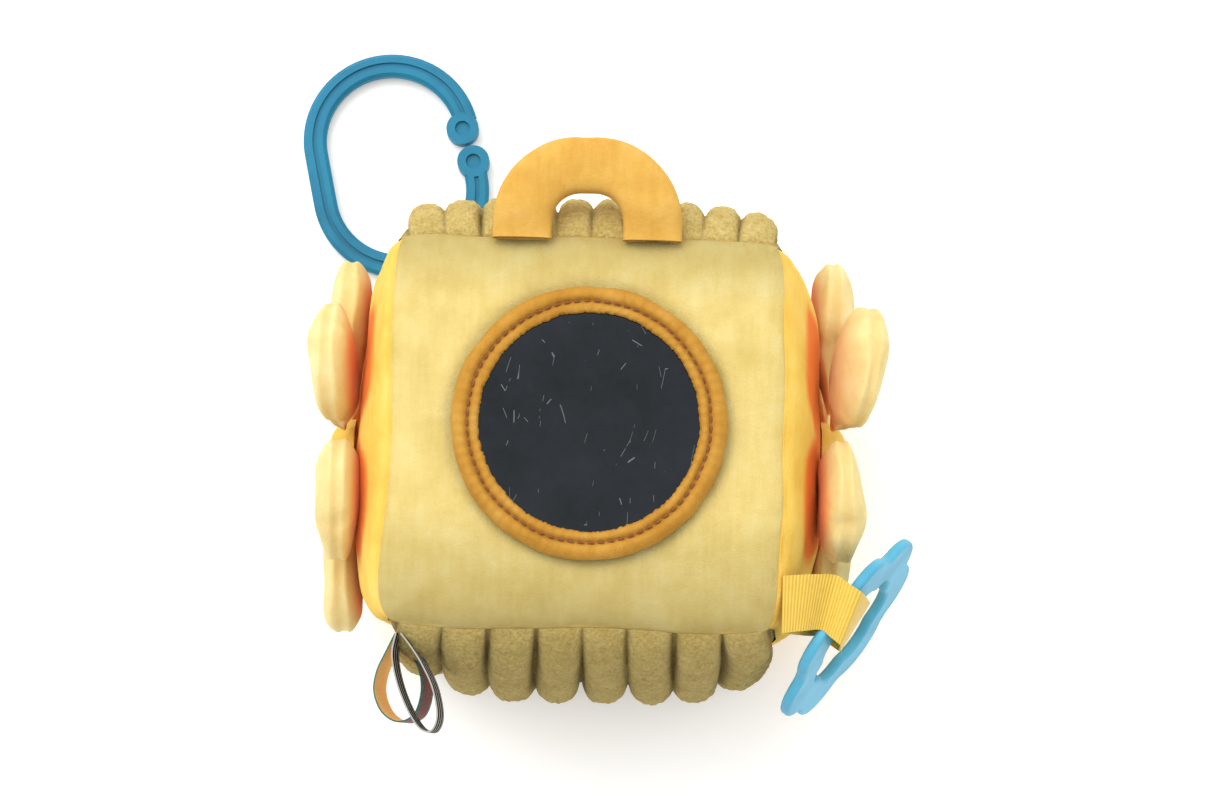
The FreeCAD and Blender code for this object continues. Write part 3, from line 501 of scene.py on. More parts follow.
def ribbed_panel(label, sign, centres, radius, material, seed, rows=210, columns=300):
    """A panel of chunky ribs from the front seam to the back seam."""
    t = np.sin(np.linspace(-1, 1, rows) * math.pi / 2 * 0.9) / math.sin(math.pi / 2 * 0.9)
    s = np.linspace(-1, 1, columns)
    qz, qx = np.meshgrid(t, s, indexing="ij")
    if sign < 0:
        qx = qx[:, ::-1]
    qy = np.full_like(qx, float(sign))
    grid = np.stack(cube_point(qx, qy, qz), axis=2)
    grid[..., 1] += 0.0018 * (1 - qz**2)
    normal = normals_of(grid)
    across = grid[..., 0] / (1 + 0.045 * (1 - qz**2))
    profile = np.zeros_like(across)
    for k, centre in enumerate(centres):
        sway = 0.0006 * np.sin(3.1 * qz + 1.7 * k)
        d = (across - centre * MM - sway) / (radius * MM)
        profile = np.maximum(profile, np.sqrt(np.clip(1 - np.abs(d) ** 2.3, 0, 1)))
    ends = np.sqrt(np.clip((1 - np.abs(qz)) * HALF_D / 0.010, 0, 1))
    sides = smoothstep((1 - np.abs(qx)) * HALF_W / 0.006)
    flat = grid.reshape(-1, 3)
    lumps = 1 + 0.10 * wobble(flat, 0.016, seed).reshape(rows, columns)
    fuzz = 0.0007 * wobble(flat, 0.0018, seed + 3) + 0.0005 * wobble(flat, 0.0040, seed + 4)
    height = radius * MM * profile * ends * sides * lumps
    height = height + fuzz.reshape(rows, columns) * np.minimum(ends, sides)
    edge = np.minimum((1 - np.abs(qx)) * HALF_W, (1 - np.abs(qz)) * HALF_D)
    grid = grid + normal * height[..., None] + seam_dip(qx, qy, qz, edge)
    obj = mesh_object(label + "_cover", grid.reshape(-1, 3), grid_faces(rows, columns), material)
    # Painted shade in the grooves between the ribs, weaker near the side seams.
    store(obj, "crease_shade", 0.8 * (1 - smoothstep(profile / 0.75)) * (0.25 + 0.75 * sides))
    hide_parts(label)
    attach(obj, "cube")
    return obj


# ---------------------------------------------------------------- inflated soft pieces

SIM_SCALE = 10.0
SIM_FRAMES = 26
CLOTH_STIFFNESS = 14
CLOTH_BENDING = 0.3
LONGEST_MOVE = 12 * MM


def pillow(outline_rings):
    """Points and faces of a flat closed cushion. outline_rings is an array (rings, n, 2) from the rim
    inwards; the last ring is closed by a middle point. Both layers share the rim."""
    rings, n = outline_rings.shape[:2]
    middle = outline_rings[-1].mean(axis=0)
    points, faces = [], []
    thin = 0.0012
    for side in (1, -1):
        for k in range(rings):
            if side < 0 and k == 0:
                continue
            lift = thin * (1 - math.exp(-k)) * side
            points += [(x, y, lift) for x, y in outline_rings[k]]
        points.append((middle[0], middle[1], thin * side))
    top_count = rings * n + 1

    def index(side, k, j):
        if k == 0 or side > 0:
            return k * n + j % n
        return top_count + (k - 1) * n + j % n

    for side in (1, -1):
        centre = rings * n if side > 0 else top_count + (rings - 1) * n
        for j in range(n):
            for k in range(rings - 1):
                quad = [index(side, k, j), index(side, k, j + 1)]
                quad += [index(side, k + 1, j + 1), index(side, k + 1, j)]
                faces.append(quad if side > 0 else quad[::-1])
            tri = [index(side, rings - 1, j), index(side, rings - 1, j + 1), centre]
            faces.append(tri if side > 0 else tri[::-1])
    return np.array(points), faces


def inflate(points, faces, pressure, held=()):
    """Blows a flat cushion up with the cloth simulation and gives its new points."""
    obj = mesh_object("cushion", points * SIM_SCALE, faces, [])
    scene = bpy.context.scene
    cloth = obj.modifiers.new("cloth", "CLOTH")
    settings = cloth.settings
    settings.quality = 6
    settings.mass = 0.3
    settings.tension_stiffness = settings.compression_stiffness = CLOTH_STIFFNESS
    settings.shear_stiffness = CLOTH_STIFFNESS * 0.6
    settings.bending_stiffness = CLOTH_BENDING
    settings.use_pressure = True
    settings.uniform_pressure_force = pressure
    settings.effector_weights.gravity = 0
    cloth.collision_settings.use_collision = False
    if len(held):
        group = obj.vertex_groups.new(name="held")
        group.add([int(k) for k in held], 1.0, "REPLACE")
        settings.vertex_group_mass = "held"
    cloth.point_cache.frame_start, cloth.point_cache.frame_end = 1, SIM_FRAMES
    for frame_number in range(1, SIM_FRAMES + 1):
        scene.frame_set(frame_number)
    evaluated = obj.evaluated_get(bpy.context.evaluated_depsgraph_get())
    done = evaluated.to_mesh()
    result = np.array([v.co for v in done.vertices]) / SIM_SCALE
    evaluated.to_mesh_clear()
    bpy.data.objects.remove(obj)
    scene.frame_set(1)
    step = result - points
    length = np.linalg.norm(step, axis=1, keepdims=True)
    return points + step * np.minimum(1, LONGEST_MOVE / np.maximum(length, 1e-9))


def subdivided(points, faces, values):
    """One level of subdivision; values is one number for each point that is carried along."""
    obj = mesh_object("smooth", points, faces, [])
    store(obj, "carried", values)
    obj.modifiers.new("smooth", "SUBSURF").levels = 1
    evaluated = obj.evaluated_get(bpy.context.evaluated_depsgraph_get())
    done = evaluated.to_mesh()
    new_points = np.array([v.co for v in done.vertices])
    new_faces = [tuple(p.vertices) for p in done.polygons]
    carried = np.zeros(len(new_points), np.float32)
    done.attributes["carried"].data.foreach_get("value", carried)
    evaluated.to_mesh_clear()
    bpy.data.objects.remove(obj)
    return new_points, new_faces, carried


# ---------------------------------------------------------------- petals

PETAL_LOBE_C, PETAL_LOBE_R = 0.042, 0.0196
PETAL_ROOT_C, PETAL_ROOT_R = 0.0145, 0.0050
PETAL_THICK = 0.0146
PETAL_PIVOT_R = 0.012
PETAL_SINK = 0.0036
PETAL_MIDDLE = np.array([0.036, 0.0])
LEAN = {
    "left": (0, 3, -2, -1, -3, -1),
    "right": (0, 12, 2, -0.5, 2, -1),
}


def teardrop(n):
    """n points evenly along a teardrop's outline: two arcs joined by tangents."""
    lean = math.acos((PETAL_ROOT_R - PETAL_LOBE_R) / (PETAL_LOBE_C - PETAL_ROOT_C))
    path = []
    for angle in np.linspace(-lean, lean, 160):
        path.append((PETAL_LOBE_C + PETAL_LOBE_R * math.cos(angle), PETAL_LOBE_R * math.sin(angle)))
    for angle in np.linspace(lean, 2 * math.pi - lean, 60):
        path.append((PETAL_ROOT_C + PETAL_ROOT_R * math.cos(angle), PETAL_ROOT_R * math.sin(angle)))
    path = np.array(path + path[:1])
    run = np.concatenate([[0], np.cumsum(np.linalg.norm(np.diff(path, axis=0), axis=1))])
    even = np.linspace(0, run[-1], n, endpoint=False)
    return np.stack([np.interp(even, run, path[:, k]) for k in (0, 1)], axis=1)


def filled_out(z, thickness):
    """Turns the lens section of a blown cushion into a fuller one with round edges."""
    return np.sign(z) * thickness / 2 * (np.abs(z) / np.abs(z).max()) ** 0.5


def petal_form():
    """One stuffed petal in its own frame: x from the flower's axis to the tip, z out of the cube."""
    n, rings = 72, 13
    outline = teardrop(n)
    share = np.array([1 - (k / rings) ** 1.6 for k in range(rings)])
    layers = PETAL_MIDDLE + (outline - PETAL_MIDDLE)[None] * share[:, None, None]
    points, faces = pillow(layers)
    blown = inflate(points, faces, 5.0)
    is_rim = np.zeros(len(points))
    is_rim[:n] = 1
    low, high = blown.min(axis=0), blown.max(axis=0)
    blown[:, 0] = 0.0100 + (blown[:, 0] - low[0]) / (high[0] - low[0]) * 0.0525
    blown[:, 1] *= 2 * (PETAL_LOBE_R + 0.001) / (high[1] - low[1])
    blown[:, :2] = 0.25 * blown[:, :2] + 0.75 * points[:, :2] * (1.03, 1.03)
    blown[:, 2] = filled_out(blown[:, 2], PETAL_THICK)
    blown[:, 2] *= 0.22 + 0.78 * smoothstep((blown[:, 0] - 0.010) / 0.022)
    points, faces, rim = subdivided(blown, faces, is_rim)
    inward = np.array([*PETAL_MIDDLE, 0]) - points
    inward /= np.maximum(np.linalg.norm(inward, axis=1, keepdims=True), 1e-9)
    points = points + inward * (0.0011 * np.exp(-((points[:, 2] / 0.0014) ** 2)))[:, None]
    return points, faces, rim


def shaped_petal(form, number, seed):
    """The petal's form made uneven: mirrored, curled and lumped in its own way."""
    local = form.copy()
    if number % 2:
        local[:, 1] *= -1
    curl = 0.0022 * wobble([(seed, 0.5, 0.5)], 0.73, 2)[0]
    local[:, 2] += curl * ((local[:, 0] - PETAL_PIVOT_R) / 0.05) ** 2
    lump = 0.0014 * wobble(local, 0.018, seed + 30)
    local[:, 2] += np.sign(local[:, 2]) * lump * smoothstep(np.abs(local[:, 2]) / 0.003)
    return local


def make_petals(cover):
    """Six petals on each side, each bending about the seam at its root."""
    form, faces, rim = petal_form()
    joints = {j["name"]: j for j in frame["joints"]}
    for side, out_sign in (("left", -1), ("right", 1)):
        for k, lean in enumerate(LEAN[side]):
            name = f"{side}_petal_{k + 1}"
            joint = joints[name + "_bend"]
            seam, axis = np.array(joint["pos_m"]), np.array(joint["axis"])
            out = np.array([out_sign, 0.0, 0.0])
            ray = np.cross(out, axis)
            side_way = np.cross(out, ray)
            local = shaped_petal(form, k, k + 10 * out_sign)
            turn = math.radians(lean)
            away = local[:, 0] - PETAL_PIVOT_R
            rise = local[:, 2] - PETAL_SINK
            along = away * math.cos(turn) - rise * math.sin(turn)
            height = away * math.sin(turn) + rise * math.cos(turn)
            points = seam + along[:, None] * ray + local[:, 1:2] * side_way + height[:, None] * out
            obj = mesh_object(name + "_plush", points, faces, cover, closed=True)
            # Painted shade in the crease of the seam round the petal's edge.
            store(obj, "crease_shade", 0.25 * smoothstep(rim * 1.5))
            # Painted orange bounce light on the face towards the cube and near the root, weaker on petals
            # that lean far out.
            inner = smoothstep((-0.0030 - local[:, 2]) / 0.0040)
            root_run = 0.024 if side == "left" else 0.036
            root = 1 - smoothstep((local[:, 0] - PETAL_PIVOT_R) / root_run)
            bounce_strength = 0.95 if lean < 6 else 0.3
            store(obj, "painted_bounce_light", np.clip(bounce_strength * inner + 0.45 * root, 0, 1))
            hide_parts(name + "_cover", name + "_filling")
            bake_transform(obj)


def petal_plush():
    """Pale plush with painted orange bounce light on the side that faces the cube and towards the root, and
    painted shade at its rim seam.
    """
    f = Finish("petal_plush", Roughness=0.92, Sheen_Weight=0.3, Sheen_Roughness=0.45, Specular_IOR_Level=0.15)
    f.shader.inputs["Sheen Tint"].default_value = rgb("#FBEFB8")
    patches = f.noise(80, 5, 0.6)
    fine = f.noise(2600, 2, 0.7)
    colour = f.ramp(patches, (0.3, rgb("#DDC27E")), (0.52, rgb("#E8D08E")), (0.72, rgb("#EFDDA4")))
    colour = f.mix(0.14, colour, f.ramp(fine, (0.3, rgb("#D8BC70")), (0.7, rgb("#F2E4B4"))))
    # Painted orange bounce light, deepening with the stored value.
    bounce_colour = f.ramp(f.attribute("painted_bounce_light"), (0.0, rgb("#ECD08C")), (0.5, rgb("#EBA65C")), (1.0, rgb("#EA6A2C")))
    colour = f.mix(f.attribute("painted_bounce_light"), colour, bounce_colour)
    # Painted shade at the rim seam.
    colour = f.mix(f.attribute("crease_shade"), colour, rgb("#CFA658"))
    soft = f.bump(f.noise(380, 4, 0.65), 0.0006, 0.5)
    return f.finish(colour, f.bump(fine, 0.0005, 0.6, soft))


def make_buttons(cover):
    """A puffy button over the petals' roots on each side."""
    for side, out_sign in (("left", -1), ("right", 1)):
        low, high = (np.array(c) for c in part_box(f"{side}_flower_button"))
        middle = (low + high) / 2
        tip = high[0] if out_sign > 0 else low[0]
        radius = (high[1] - low[1]) / 2
        n, rings = 48, 16
        points = []
        for k in range(rings):
            turn = math.pi / 2 * k / (rings - 1)
            r = radius * math.cos(turn) ** 0.8
            rise = tip - out_sign * 0.0085 * (1 - math.sin(turn) ** 1.1)
            for j in range(n):
                a = 2 * math.pi * j / n
                pinch = 1 + 0.05 * math.cos(6 * a) * math.cos(turn)
                y, z = r * pinch * math.cos(a), r * pinch * math.sin(a)
                points.append((rise, middle[1] + y, middle[2] + z))
        faces = grid_faces(rings, n, close_columns=True)
        obj = mesh_object(f"{side}_flower_button_plush", points, faces, cover, closed=True)
        store(obj, "crease_shade", np.zeros(len(points)))
        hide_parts(f"{side}_flower_button")
        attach(obj, "cube")


# ---------------------------------------------------------------- handle


FOOT_LAP = 0.0045


def arch_lines(n):
    """The outer and the inner edge of the handle, from one foot over to the other, as two arrays."""
    low, high = (np.array(c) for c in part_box("handle_cover"))
    centre_x, foot = (low[0] + high[0]) / 2, low[1] - FOOT_LAP
    half, top, corner = (high[0] - low[0]) / 2, high[1] - foot, 0.0275
    gap, roof, bend = 0.011, 0.0104 + FOOT_LAP, 0.0090

    def edge(half_width, height, radius):
        path = [(-half_width, 0.0), (-half_width, height - radius)]
        turns = np.linspace(math.pi, math.pi / 2, 24)[1:]
        for a in turns:
            path.append((radius * (1 + math.cos(a)) - half_width, height - radius * (1 - math.sin(a))))
        path += [(-x, y) for x, y in path[::-1]]
        path = np.array(path)
        run = np.concatenate([[0], np.cumsum(np.linalg.norm(np.diff(path, axis=0), axis=1))])
        even = np.linspace(0, run[-1], n)
        return np.stack([np.interp(even, run, path[:, k]) for k in (0, 1)], axis=1)

    place = np.array([centre_x, foot])
    return edge(half, top, corner) + place, edge(gap, roof, bend) + place


def handle_layers(n, across):
    """Two flat layers sewn together at the outer and the inner seam: points, faces, and for each point its
    number before the seams were joined, when the layers had n * across points each."""
    outer, inner = arch_lines(n)
    share = (1 - np.cos(np.linspace(0, math.pi, across))) / 2
    flat = outer[:, None] + (inner - outer)[:, None] * share[None, :, None]
    points, faces = [], []
    for side in (1, -1):
        start = len(points)
        for i in range(n):
            for j in range(across):
                lift = 0.0015 * math.sin(math.pi * j / (across - 1)) * side
                points.append((*flat[i, j], lift))
        layer = grid_faces(n, across, start)
        faces += layer if side > 0 else [f[::-1] for f in layer]
    points = np.array(points)
    count = n * across
    merged = {}
    for i in range(n):
        for j in (0, across - 1):
            merged[count + i * across + j] = i * across + j
    faces = [tuple(merged.get(v, v) for v in f) for f in faces]
    keep = [k for k in range(len(points)) if k not in merged]
    place = {k: m for m, k in enumerate(keep)}
    return points[keep], [tuple(place[v] for v in f) for f in faces], keep


def make_handle(cover):
    """Two layers of plush between an outer and an inner seam, blown up by the cloth simulation."""
    n, across = 84, 11
    low, high = (np.array(c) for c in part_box("handle_cover"))
    level = (low[2] + high[2]) / 2
    points, faces, keep = handle_layers(n, across)
    count = n * across
    feet = [place for place, k in enumerate(keep) if (k % count) // across in (0, n - 1)]
    blown = inflate(points, faces, 6.0, held=feet)
    blown[:, :2] = 0.1 * blown[:, :2] + 0.9 * points[:, :2]
    blown[:, 2] = filled_out(blown[:, 2], 0.0140)
    section = np.array([math.sin(math.pi * (k % across) / (across - 1)) for k in keep])
    layer = np.array([1 if k < count else -1 for k in keep])
    blown[:, 2] = layer * np.maximum(np.abs(blown[:, 2]), 0.0062 * np.sqrt(section))
    foot_line = low[1]
    near = smoothstep((blown[:, 1] - foot_line + FOOT_LAP) / 0.012)
    blown[:, 2] *= 0.42 + 0.58 * near
    is_rim = np.array([float(k < count and k % across in (0, across - 1)) for k in keep])
    points, faces, rim = subdivided(blown, faces, is_rim)
    points[:, 2] += level + 0.0003 * wobble(points, 0.01, 4)
    obj = mesh_object("handle_plush", points, faces, cover, closed=True)
    # Painted shade in the crease of the seams at the handle's edges.
    store(obj, "crease_shade", 0.25 * smoothstep(rim * 1.5))
    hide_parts("handle_cover", "handle_filling")
    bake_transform(obj)


# ---------------------------------------------------------------- mirror rim and stitches

RIM_PROFILE = (
    (0.0430, -0.0016),
    (0.0426, 0.0004),
    (0.0418, 0.0018),
    (0.0406, 0.0028),
    (0.0393, 0.0027),
    (0.0384, 0.0017),
    (0.0378, 0.0010),
    (0.0372, 0.0016),
    (0.0363, 0.0024),
    (0.0353, 0.0023),
    (0.0345, 0.0017),
    (0.0342, 0.0008),
    (0.0344, 0.0002),
)
STITCH_RING_R = 0.0378
STITCHES = 76


def make_rim(cover):
    """A padded ring of two rolls with the sewn valley between them, ragged where it is cut inside."""
    base = MIRROR_HIGH[2]
    n, fine = 300, 4
    profile = np.array(RIM_PROFILE)
    run = np.arange(len(profile))
    dense = np.linspace(0, len(profile) - 1, (len(profile) - 1) * fine + 1)
    radii, rises = np.interp(dense, run, profile[:, 0]), np.interp(dense, run, profile[:, 1])
    kernel = np.array([1, 2, 3, 2, 1]) / 9
    radii = np.convolve(np.pad(radii, 2, mode="edge"), kernel, "valid")
    rises = np.convolve(np.pad(rises, 2, mode="edge"), kernel, "valid")
    angles = np.linspace(0, 2 * math.pi, n, endpoint=False)
    points, crease_shade = [], []
    for r, z in zip(radii, rises):
        valley = math.exp(-(((r - STITCH_RING_R) / 0.0007) ** 2))
        cut = 1.0 if r < 0.0348 else 0.0
        for a in angles:
            pucker = 0.00025 * math.sin(a * STITCHES)
            uneven = 0.00045 * noise.noise(Vector((math.cos(a) * 5, math.sin(a) * 5, r * 200)))
            ragged = cut * 0.0005 * noise.noise(Vector((math.cos(a) * 40, math.sin(a) * 40, 3.0)))
            radius = r + uneven + ragged
            rise = z * (1 + 0.12 * math.sin(2 * a + 0.7)) + pucker * (1 - valley) * (1 - cut)
            points.append((MIRROR_X + radius * math.cos(a), MIRROR_Y + radius * math.sin(a), base + rise))
            # Painted shade in the sewn valley and at the cut inner edge.
            crease_shade.append(0.6 * valley + 0.25 * cut)
    faces = grid_faces(len(radii), n, close_columns=True)
    obj = mesh_object("mirror_rim_plush", points, faces, cover, closed=True)
    store(obj, "crease_shade", crease_shade)
    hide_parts("mirror_rim", "mirror_backing_pad")
    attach(obj, "cube")


def make_stitches(yarn):
    """Long stitches in the rim's valley, each a short bowed length of thread."""
    points, faces = [], []
    length, thick, segments, sides = 0.0022, 0.00036, 6, 8
    for k in range(STITCHES):
        a = 2 * math.pi * (k + 0.5) / STITCHES
        slant = 0.10 * noise.noise(Vector((k * 1.7, 0.3, 0.9)))
        ring_x, ring_y = MIRROR_X + STITCH_RING_R * math.cos(a), MIRROR_Y + STITCH_RING_R * math.sin(a)
        centre = Vector((ring_x, ring_y, MIRROR_HIGH[2] + 0.00150))
        run_way = Vector((-math.sin(a + slant), math.cos(a + slant), 0))
        across = run_way.cross(Vector((0, 0, 1)))
        start = len(points)
        for i in range(segments + 1):
            t = i / segments * 2 - 1
            girth = thick * math.sqrt(max(0.04, 1 - abs(t) ** 3))
            lift = 0.0003 * (1 - t * t)
            for j in range(sides):
                turn = 2 * math.pi * j / sides
                offset = across * math.cos(turn) * girth + Vector((0, 0, math.sin(turn) * girth + lift))
                points.append(centre + run_way * (t * length / 2) + offset)
        faces += grid_faces(segments + 1, sides, start, close_columns=True)
        faces.append(tuple(start + j for j in range(sides))[::-1])
        faces.append(tuple(start + segments * sides + j for j in range(sides)))
    obj = mesh_object("mirror_stitches", points, faces, yarn, closed=True)
    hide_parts("mirror_stitching")
    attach(obj, "cube")


# ---------------------------------------------------------------- ribbons


def spline(points, n):
    """n points evenly along a Catmull-Rom curve through the given ones."""
    p = np.array(points, float)
    p = np.vstack([2 * p[0] - p[1], p, 2 * p[-1] - p[-2]])
    dense = []
    for k in range(1, len(p) - 2):
        for t in np.linspace(0, 1, 24, endpoint=False):
            a, b, c, d = p[k - 1], p[k], p[k + 1], p[k + 2]
            square, cube = (2 * a - 5 * b + 4 * c - d) * t**2, (3 * b - a - 3 * c + d) * t**3
            dense.append(0.5 * (2 * b + (c - a) * t + square + cube))
    dense = np.array(dense + [p[-2]])
    run = np.concatenate([[0], np.cumsum(np.linalg.norm(np.diff(dense, axis=0), axis=1))])
    even = np.linspace(0, run[-1], n)
    return np.stack([np.interp(even, run, dense[:, k]) for k in range(3)], axis=1), run[-1]


def strip(name, path, ways, width, thick, materials, n, across=13):
    """A ribbon of a closed thin section along a curve. ways gives its width direction at each control point.
    The second material, if there is one, covers its inner face."""
    line, length = spline(path, n)
    straight = np.ptp(np.array(ways), axis=0).max() < 1e-9
    way = np.tile(ways[0], (n, 1)) if straight else spline(ways, n)[0]
    way = way / np.linalg.norm(way, axis=1, keepdims=True)
    tangent = np.gradient(line, axis=0)
    tangent /= np.linalg.norm(tangent, axis=1, keepdims=True)
    out = np.cross(tangent, way)
    out /= np.linalg.norm(out, axis=1, keepdims=True)
    v = np.linspace(-width / 2, width / 2, across)
    middle = line[:, None] + way[:, None] * v[None, :, None]
    upper = middle + out[:, None] * thick / 2
    lower = middle - out[:, None] * thick / 2
    ring = np.concatenate([upper, lower[:, ::-1]], axis=1)
    points = ring.reshape(-1, 3)
    faces = grid_faces(n, 2 * across, close_columns=True)
    faces.append(tuple(range(2 * across))[::-1])
    faces.append(tuple((n - 1) * 2 * across + k for k in range(2 * across)))
    obj = mesh_object(name, points, faces, materials, closed=True)
    obj.data.polygons.foreach_set("use_smooth", [False] * len(obj.data.polygons))
    if len(obj.data.materials) > 1:
        sides = (n - 1) * 2 * across
        for k, polygon in enumerate(obj.data.polygons):
            polygon.material_index = int(k < sides and k % (2 * across) >= across - 1)
    store(obj, "along", np.repeat(np.linspace(0, length, n), 2 * across))
    store(obj, "across", np.tile(np.concatenate([v, v[::-1]]), n))
    return obj, length


def make_teether_ribbon(golden):
    """From the front seam over the ring's upper limb, round it and back to the seam."""
    joints = {j["name"]: j for j in frame["joints"]}
    seam = np.array(joints["ribbon_flap"]["pos_m"])
    limb = np.array(joints["teether_swing"]["pos_m"])
    ring_way = np.array(joints["teether_swing"]["axis"])
    low, high = (np.array(c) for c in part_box("teether"))
    up = limb - (low + high) / 2
    up -= ring_way * np.dot(up, ring_way)
    up /= np.linalg.norm(up)
    out = np.cross(ring_way, up)
    out *= math.copysign(1, out[0])
    top = seam + np.array([-0.0008, 0, 0.0004])
    foot = seam + np.array([-0.0004, 0, -0.0006])

    def at(face, rise):
        return limb + out * face * MM + up * rise * MM

    path = [top, (top + at(-4.6, 9.4)) / 2 + up * 0.0008, at(-4.4, 9.0), at(0, 9.6), at(4.4, 8.6), at(4.9, 0)]
    path += [at(4.2, -7.4), at(0, -8.2), at(-4.4, -7.0), (foot + at(-4.6, -6.4)) / 2, foot]
    seam_way, loop_way = np.array([0, 1.0, 0]), np.array([0.50, 0.866, 0])
    between = seam_way * 0.6 + loop_way * 0.4
    ways = [seam_way, between] + [loop_way] * 7 + [between, seam_way]
    obj, length = strip("teether_ribbon_loop", path, ways, 0.0178, 0.0006, golden, n=220)
    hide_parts("teether_ribbon")
    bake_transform(obj)


def make_tab(golden):
    """The short loop that ties the link clip to the corner seam."""
    joints = {j["name"]: j for j in frame["joints"]}
    root = np.array(joints["tab_bend"]["pos_m"])
    hold = np.array(joints["clip_swing"]["pos_m"])
    way = np.array(joints["clip_swing"]["axis"])
    out = hold - root
    out[2] = 0
    out /= np.linalg.norm(out)
    up = np.array([0, 0, 1.0])
    corner = root - out * 0.0040

    def at(away, rise):
        return hold + out * away * MM + up * rise * MM

    path = [corner + up * 0.0002, root - up * 0.001, at(-5.4, -2.9), at(0, -3.3), at(5.0, -2.9), at(5.7, 0)]
    path += [at(4.9, 3.3), at(0, 3.8), at(-5.2, 3.4), root + up * 0.0014, corner + up * 0.0008]
    obj, length = strip("clip_tab_loop", path, [way] * len(path), 0.0100, 0.0006, golden, n=150)
    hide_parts("clip_tab")
    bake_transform(obj)


def tag_loop(name, body, path, top, width, lean, materials):
    """A ribbon loop from the corner seam and back; its width runs down from its top edge."""
    way = np.array([lean[0], lean[1], -1.0])
    way /= np.linalg.norm(way)
    middle = top - width / 2
    points = [(x * MM, y * MM, middle) for x, y in path]
    obj, length = strip(name, points, [way] * len(points), width, 0.0005, materials, n=160)
    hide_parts(body)
    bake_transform(obj)
    return obj


LINED_PATH = (
    (-57.0, -63.4), (-59.6, -69.0), (-62.4, -75.6), (-62.9, -82), (-60.2, -88), (-55.2, -90.8),
    (-50.2, -88.4), (-48.2, -81.6), (-49.0, -74.8), (-52.2, -69.0), (-55.8, -63.6),
)
STRIPED_PATH = (
    (-56.8, -63.6), (-57.8, -70.6), (-56.0, -79), (-52.4, -87.4), (-48.4, -93.0), (-44.8, -93.6),
    (-43.2, -88.8), (-44.9, -80.6), (-48.4, -73.4), (-52.0, -68.0), (-55.4, -63.8),
)


def make_tags(maroon, orange, striped):
    """The wide lined loop and the striped one at the lower left corner."""
    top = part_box("lined_tag")[1][2]
    lined = tag_loop("lined_tag_loop", "lined_tag", LINED_PATH, top, 0.0100, (0.32, 0.0), [orange, maroon])
    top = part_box("striped_tag")[1][2]
    stripes = tag_loop("striped_tag_loop", "striped_tag", STRIPED_PATH, top, 0.0100, (0.14, 0.0), striped)


# ---------------------------------------------------------------- camera, light and floor

CAMERA_DISTANCE = 0.9
CAMERA_TILT = math.radians(8)
CAMERA_ROLL = math.radians(1.5)
CAMERA_AIM = Vector((0.006, 0.009, 0.128))


def make_camera():
    """Looks straight down on the mirror from a little below its lower edge."""
    data = bpy.data.cameras.new("camera")
    data.sensor_width = 36
    data.lens = 85.4
    camera = bpy.data.objects.new("camera", data)
    bpy.context.scene.collection.objects.link(camera)
    away = Vector((0, -math.sin(CAMERA_TILT), math.cos(CAMERA_TILT)))
    camera.location = CAMERA_AIM + CAMERA_DISTANCE * away
    camera.rotation_euler = (CAMERA_AIM - camera.location).to_track_quat("-Z", "Y").to_euler()
    camera.rotation_euler.rotate_axis("Z", CAMERA_ROLL)
    bpy.context.scene.camera = camera


def area_light(name, place, aim, size, power):
    """A square white lamp at place that shines towards aim."""
    data = bpy.data.lights.new(name, "AREA")
    data.size = size
    data.energy = power
    light = bpy.data.objects.new(name, data)
    bpy.context.scene.collection.objects.link(light)
    light.location = place
    light.rotation_euler = (Vector(aim) - Vector(place)).to_track_quat("-Z", "Y").to_euler()


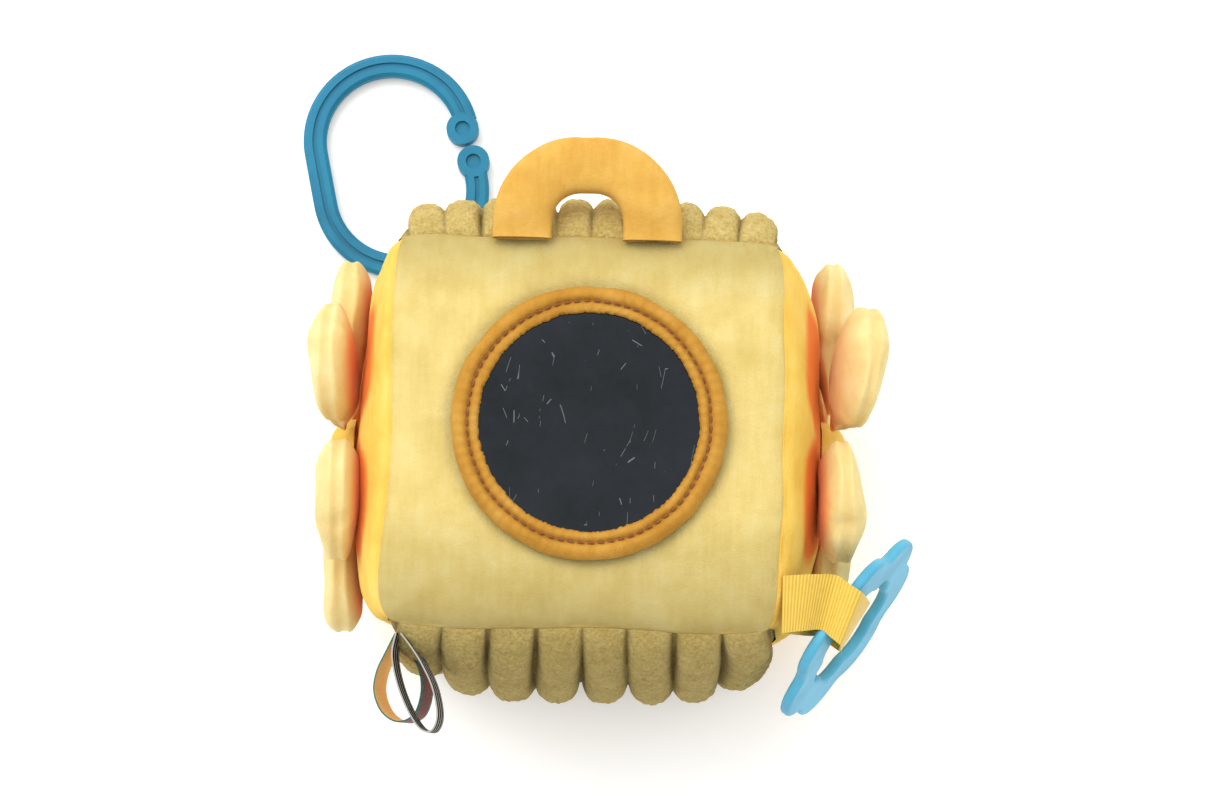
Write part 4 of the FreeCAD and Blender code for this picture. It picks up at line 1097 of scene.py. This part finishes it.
def make_studio():
    """Even white light, a soft key from the upper left, and a pale paper floor."""
    scene = bpy.context.scene
    scene.view_settings.view_transform = "Standard"
    world = bpy.data.worlds.new("studio")
    world.use_nodes = True
    world.node_tree.nodes["Background"].inputs["Color"].default_value = (1.0, 1.0, 1.0, 1)
    world.node_tree.nodes["Background"].inputs["Strength"].default_value = 0.82
    scene.world = world
    area_light("key", (-0.6, 0.6, 1.1), (0, 0, 0.06), 0.9, 5)
    area_light("fill", (0.9, 0.1, 0.9), (0, 0, 0.06), 1.0, 1.5)
    sky = bpy.data.lights.new("soft_sky", "SUN")
    sky.energy = 1.6
    sky.angle = math.radians(70)
    lamp = bpy.data.objects.new("soft_sky", sky)
    scene.collection.objects.link(lamp)
    lamp.rotation_euler = Vector((-0.25, 0.45, 1)).to_track_quat("Z", "Y").to_euler()
    paper = Finish("paper", Roughness=0.9, Specular_IOR_Level=0.1, Emission_Strength=0.12)
    floor_material = paper.finish(paper.ramp(paper.noise(3, 2), (0.3, rgb("#FAFAF9")), (0.7, rgb("#FFFFFF"))))
    size = 3.0
    corners = [(-size, -size, 0), (size, -size, 0), (size, size, 0), (-size, size, 0)]
    floor = mesh_object("floor", corners, [(0, 1, 2, 3)], floor_material)


# ---------------------------------------------------------------- the whole cube


def dress(node, material):
    """Gives a CAD node its material."""
    data = frame["nodes"][node].data
    data.materials.clear()
    data.materials.append(material)


make_camera()
make_studio()

# seam colours are painted shade in the seam creases; the pale cover's ends are painted shade towards the
# bottom and the top of the cube.
pale = plush("pale_plush", "#D8C278", "#CBB264", "#E1D090", seam="#C09A4C", ends=(0.48, 0.55))
gold = plush("gold_plush", "#EDC557", "#E2B345", "#F4D274", seam="#D08E2A")
handle_cover = plush("handle_plush", "#D6A74C", "#C8943C", "#DFB465", seam="#B98228")
rim_cover = plush("rim_plush", "#BE8934", "#AC7728", "#CC9C4A", seam="#8E5A1C")
ribs = ribbed_plush()
petal_cover = petal_plush()
yarn = thread("thread", "#9A5A22", "#6E3A12")
golden = grosgrain("gold_ribbon", "#E2C04E", "#C9A038")

for seed, (label, (axis, sign, kind)) in enumerate(PANELS.items()):
    panel = smooth_panel(label, axis, sign, pale if kind == "pale_plush" else gold, seed + 1)
    if label == "front_panel":
        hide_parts("body_stuffing")

ribbed_panel("bottom_ribbed_panel", -1, [14.35 * (k - 3.5) for k in range(8)], 6.9, ribs, 11)
ribbed_panel("top_ribbed_panel", 1, [11.6 * (k - 4.5) for k in range(10)], 5.8, ribs, 12)

make_petals(petal_cover)
make_buttons(gold)
make_handle(handle_cover)
make_rim(rim_cover)
make_stitches(yarn)
make_teether_ribbon(golden)
make_tab(golden)
maroon = woven("lined_maroon", "#7A3226", "#55201A", edge="#2F6B5C")
orange = woven("lined_orange", "#FFD27A", "#F6B95C")
make_tags(maroon, orange, striped_ribbon())

dress("mirror", mirror_sheet())
dress("link_clip", plastic("clip_plastic", "#0C7799", "#086A8B", 0.45))
dress("teether", plastic("teether_plastic", "#55ABC9", "#479AB9", 0.42))
rattle = plastic("rattle_plastic", "#F2F2F0", "#E4E4E0", 0.4)
dress("rattle_case_upper", rattle)
dress("rattle_case_lower", rattle)
dress("rattle_beads", plastic("bead_plastic", "#E8E4DC", "#D6D0C4", 0.35))
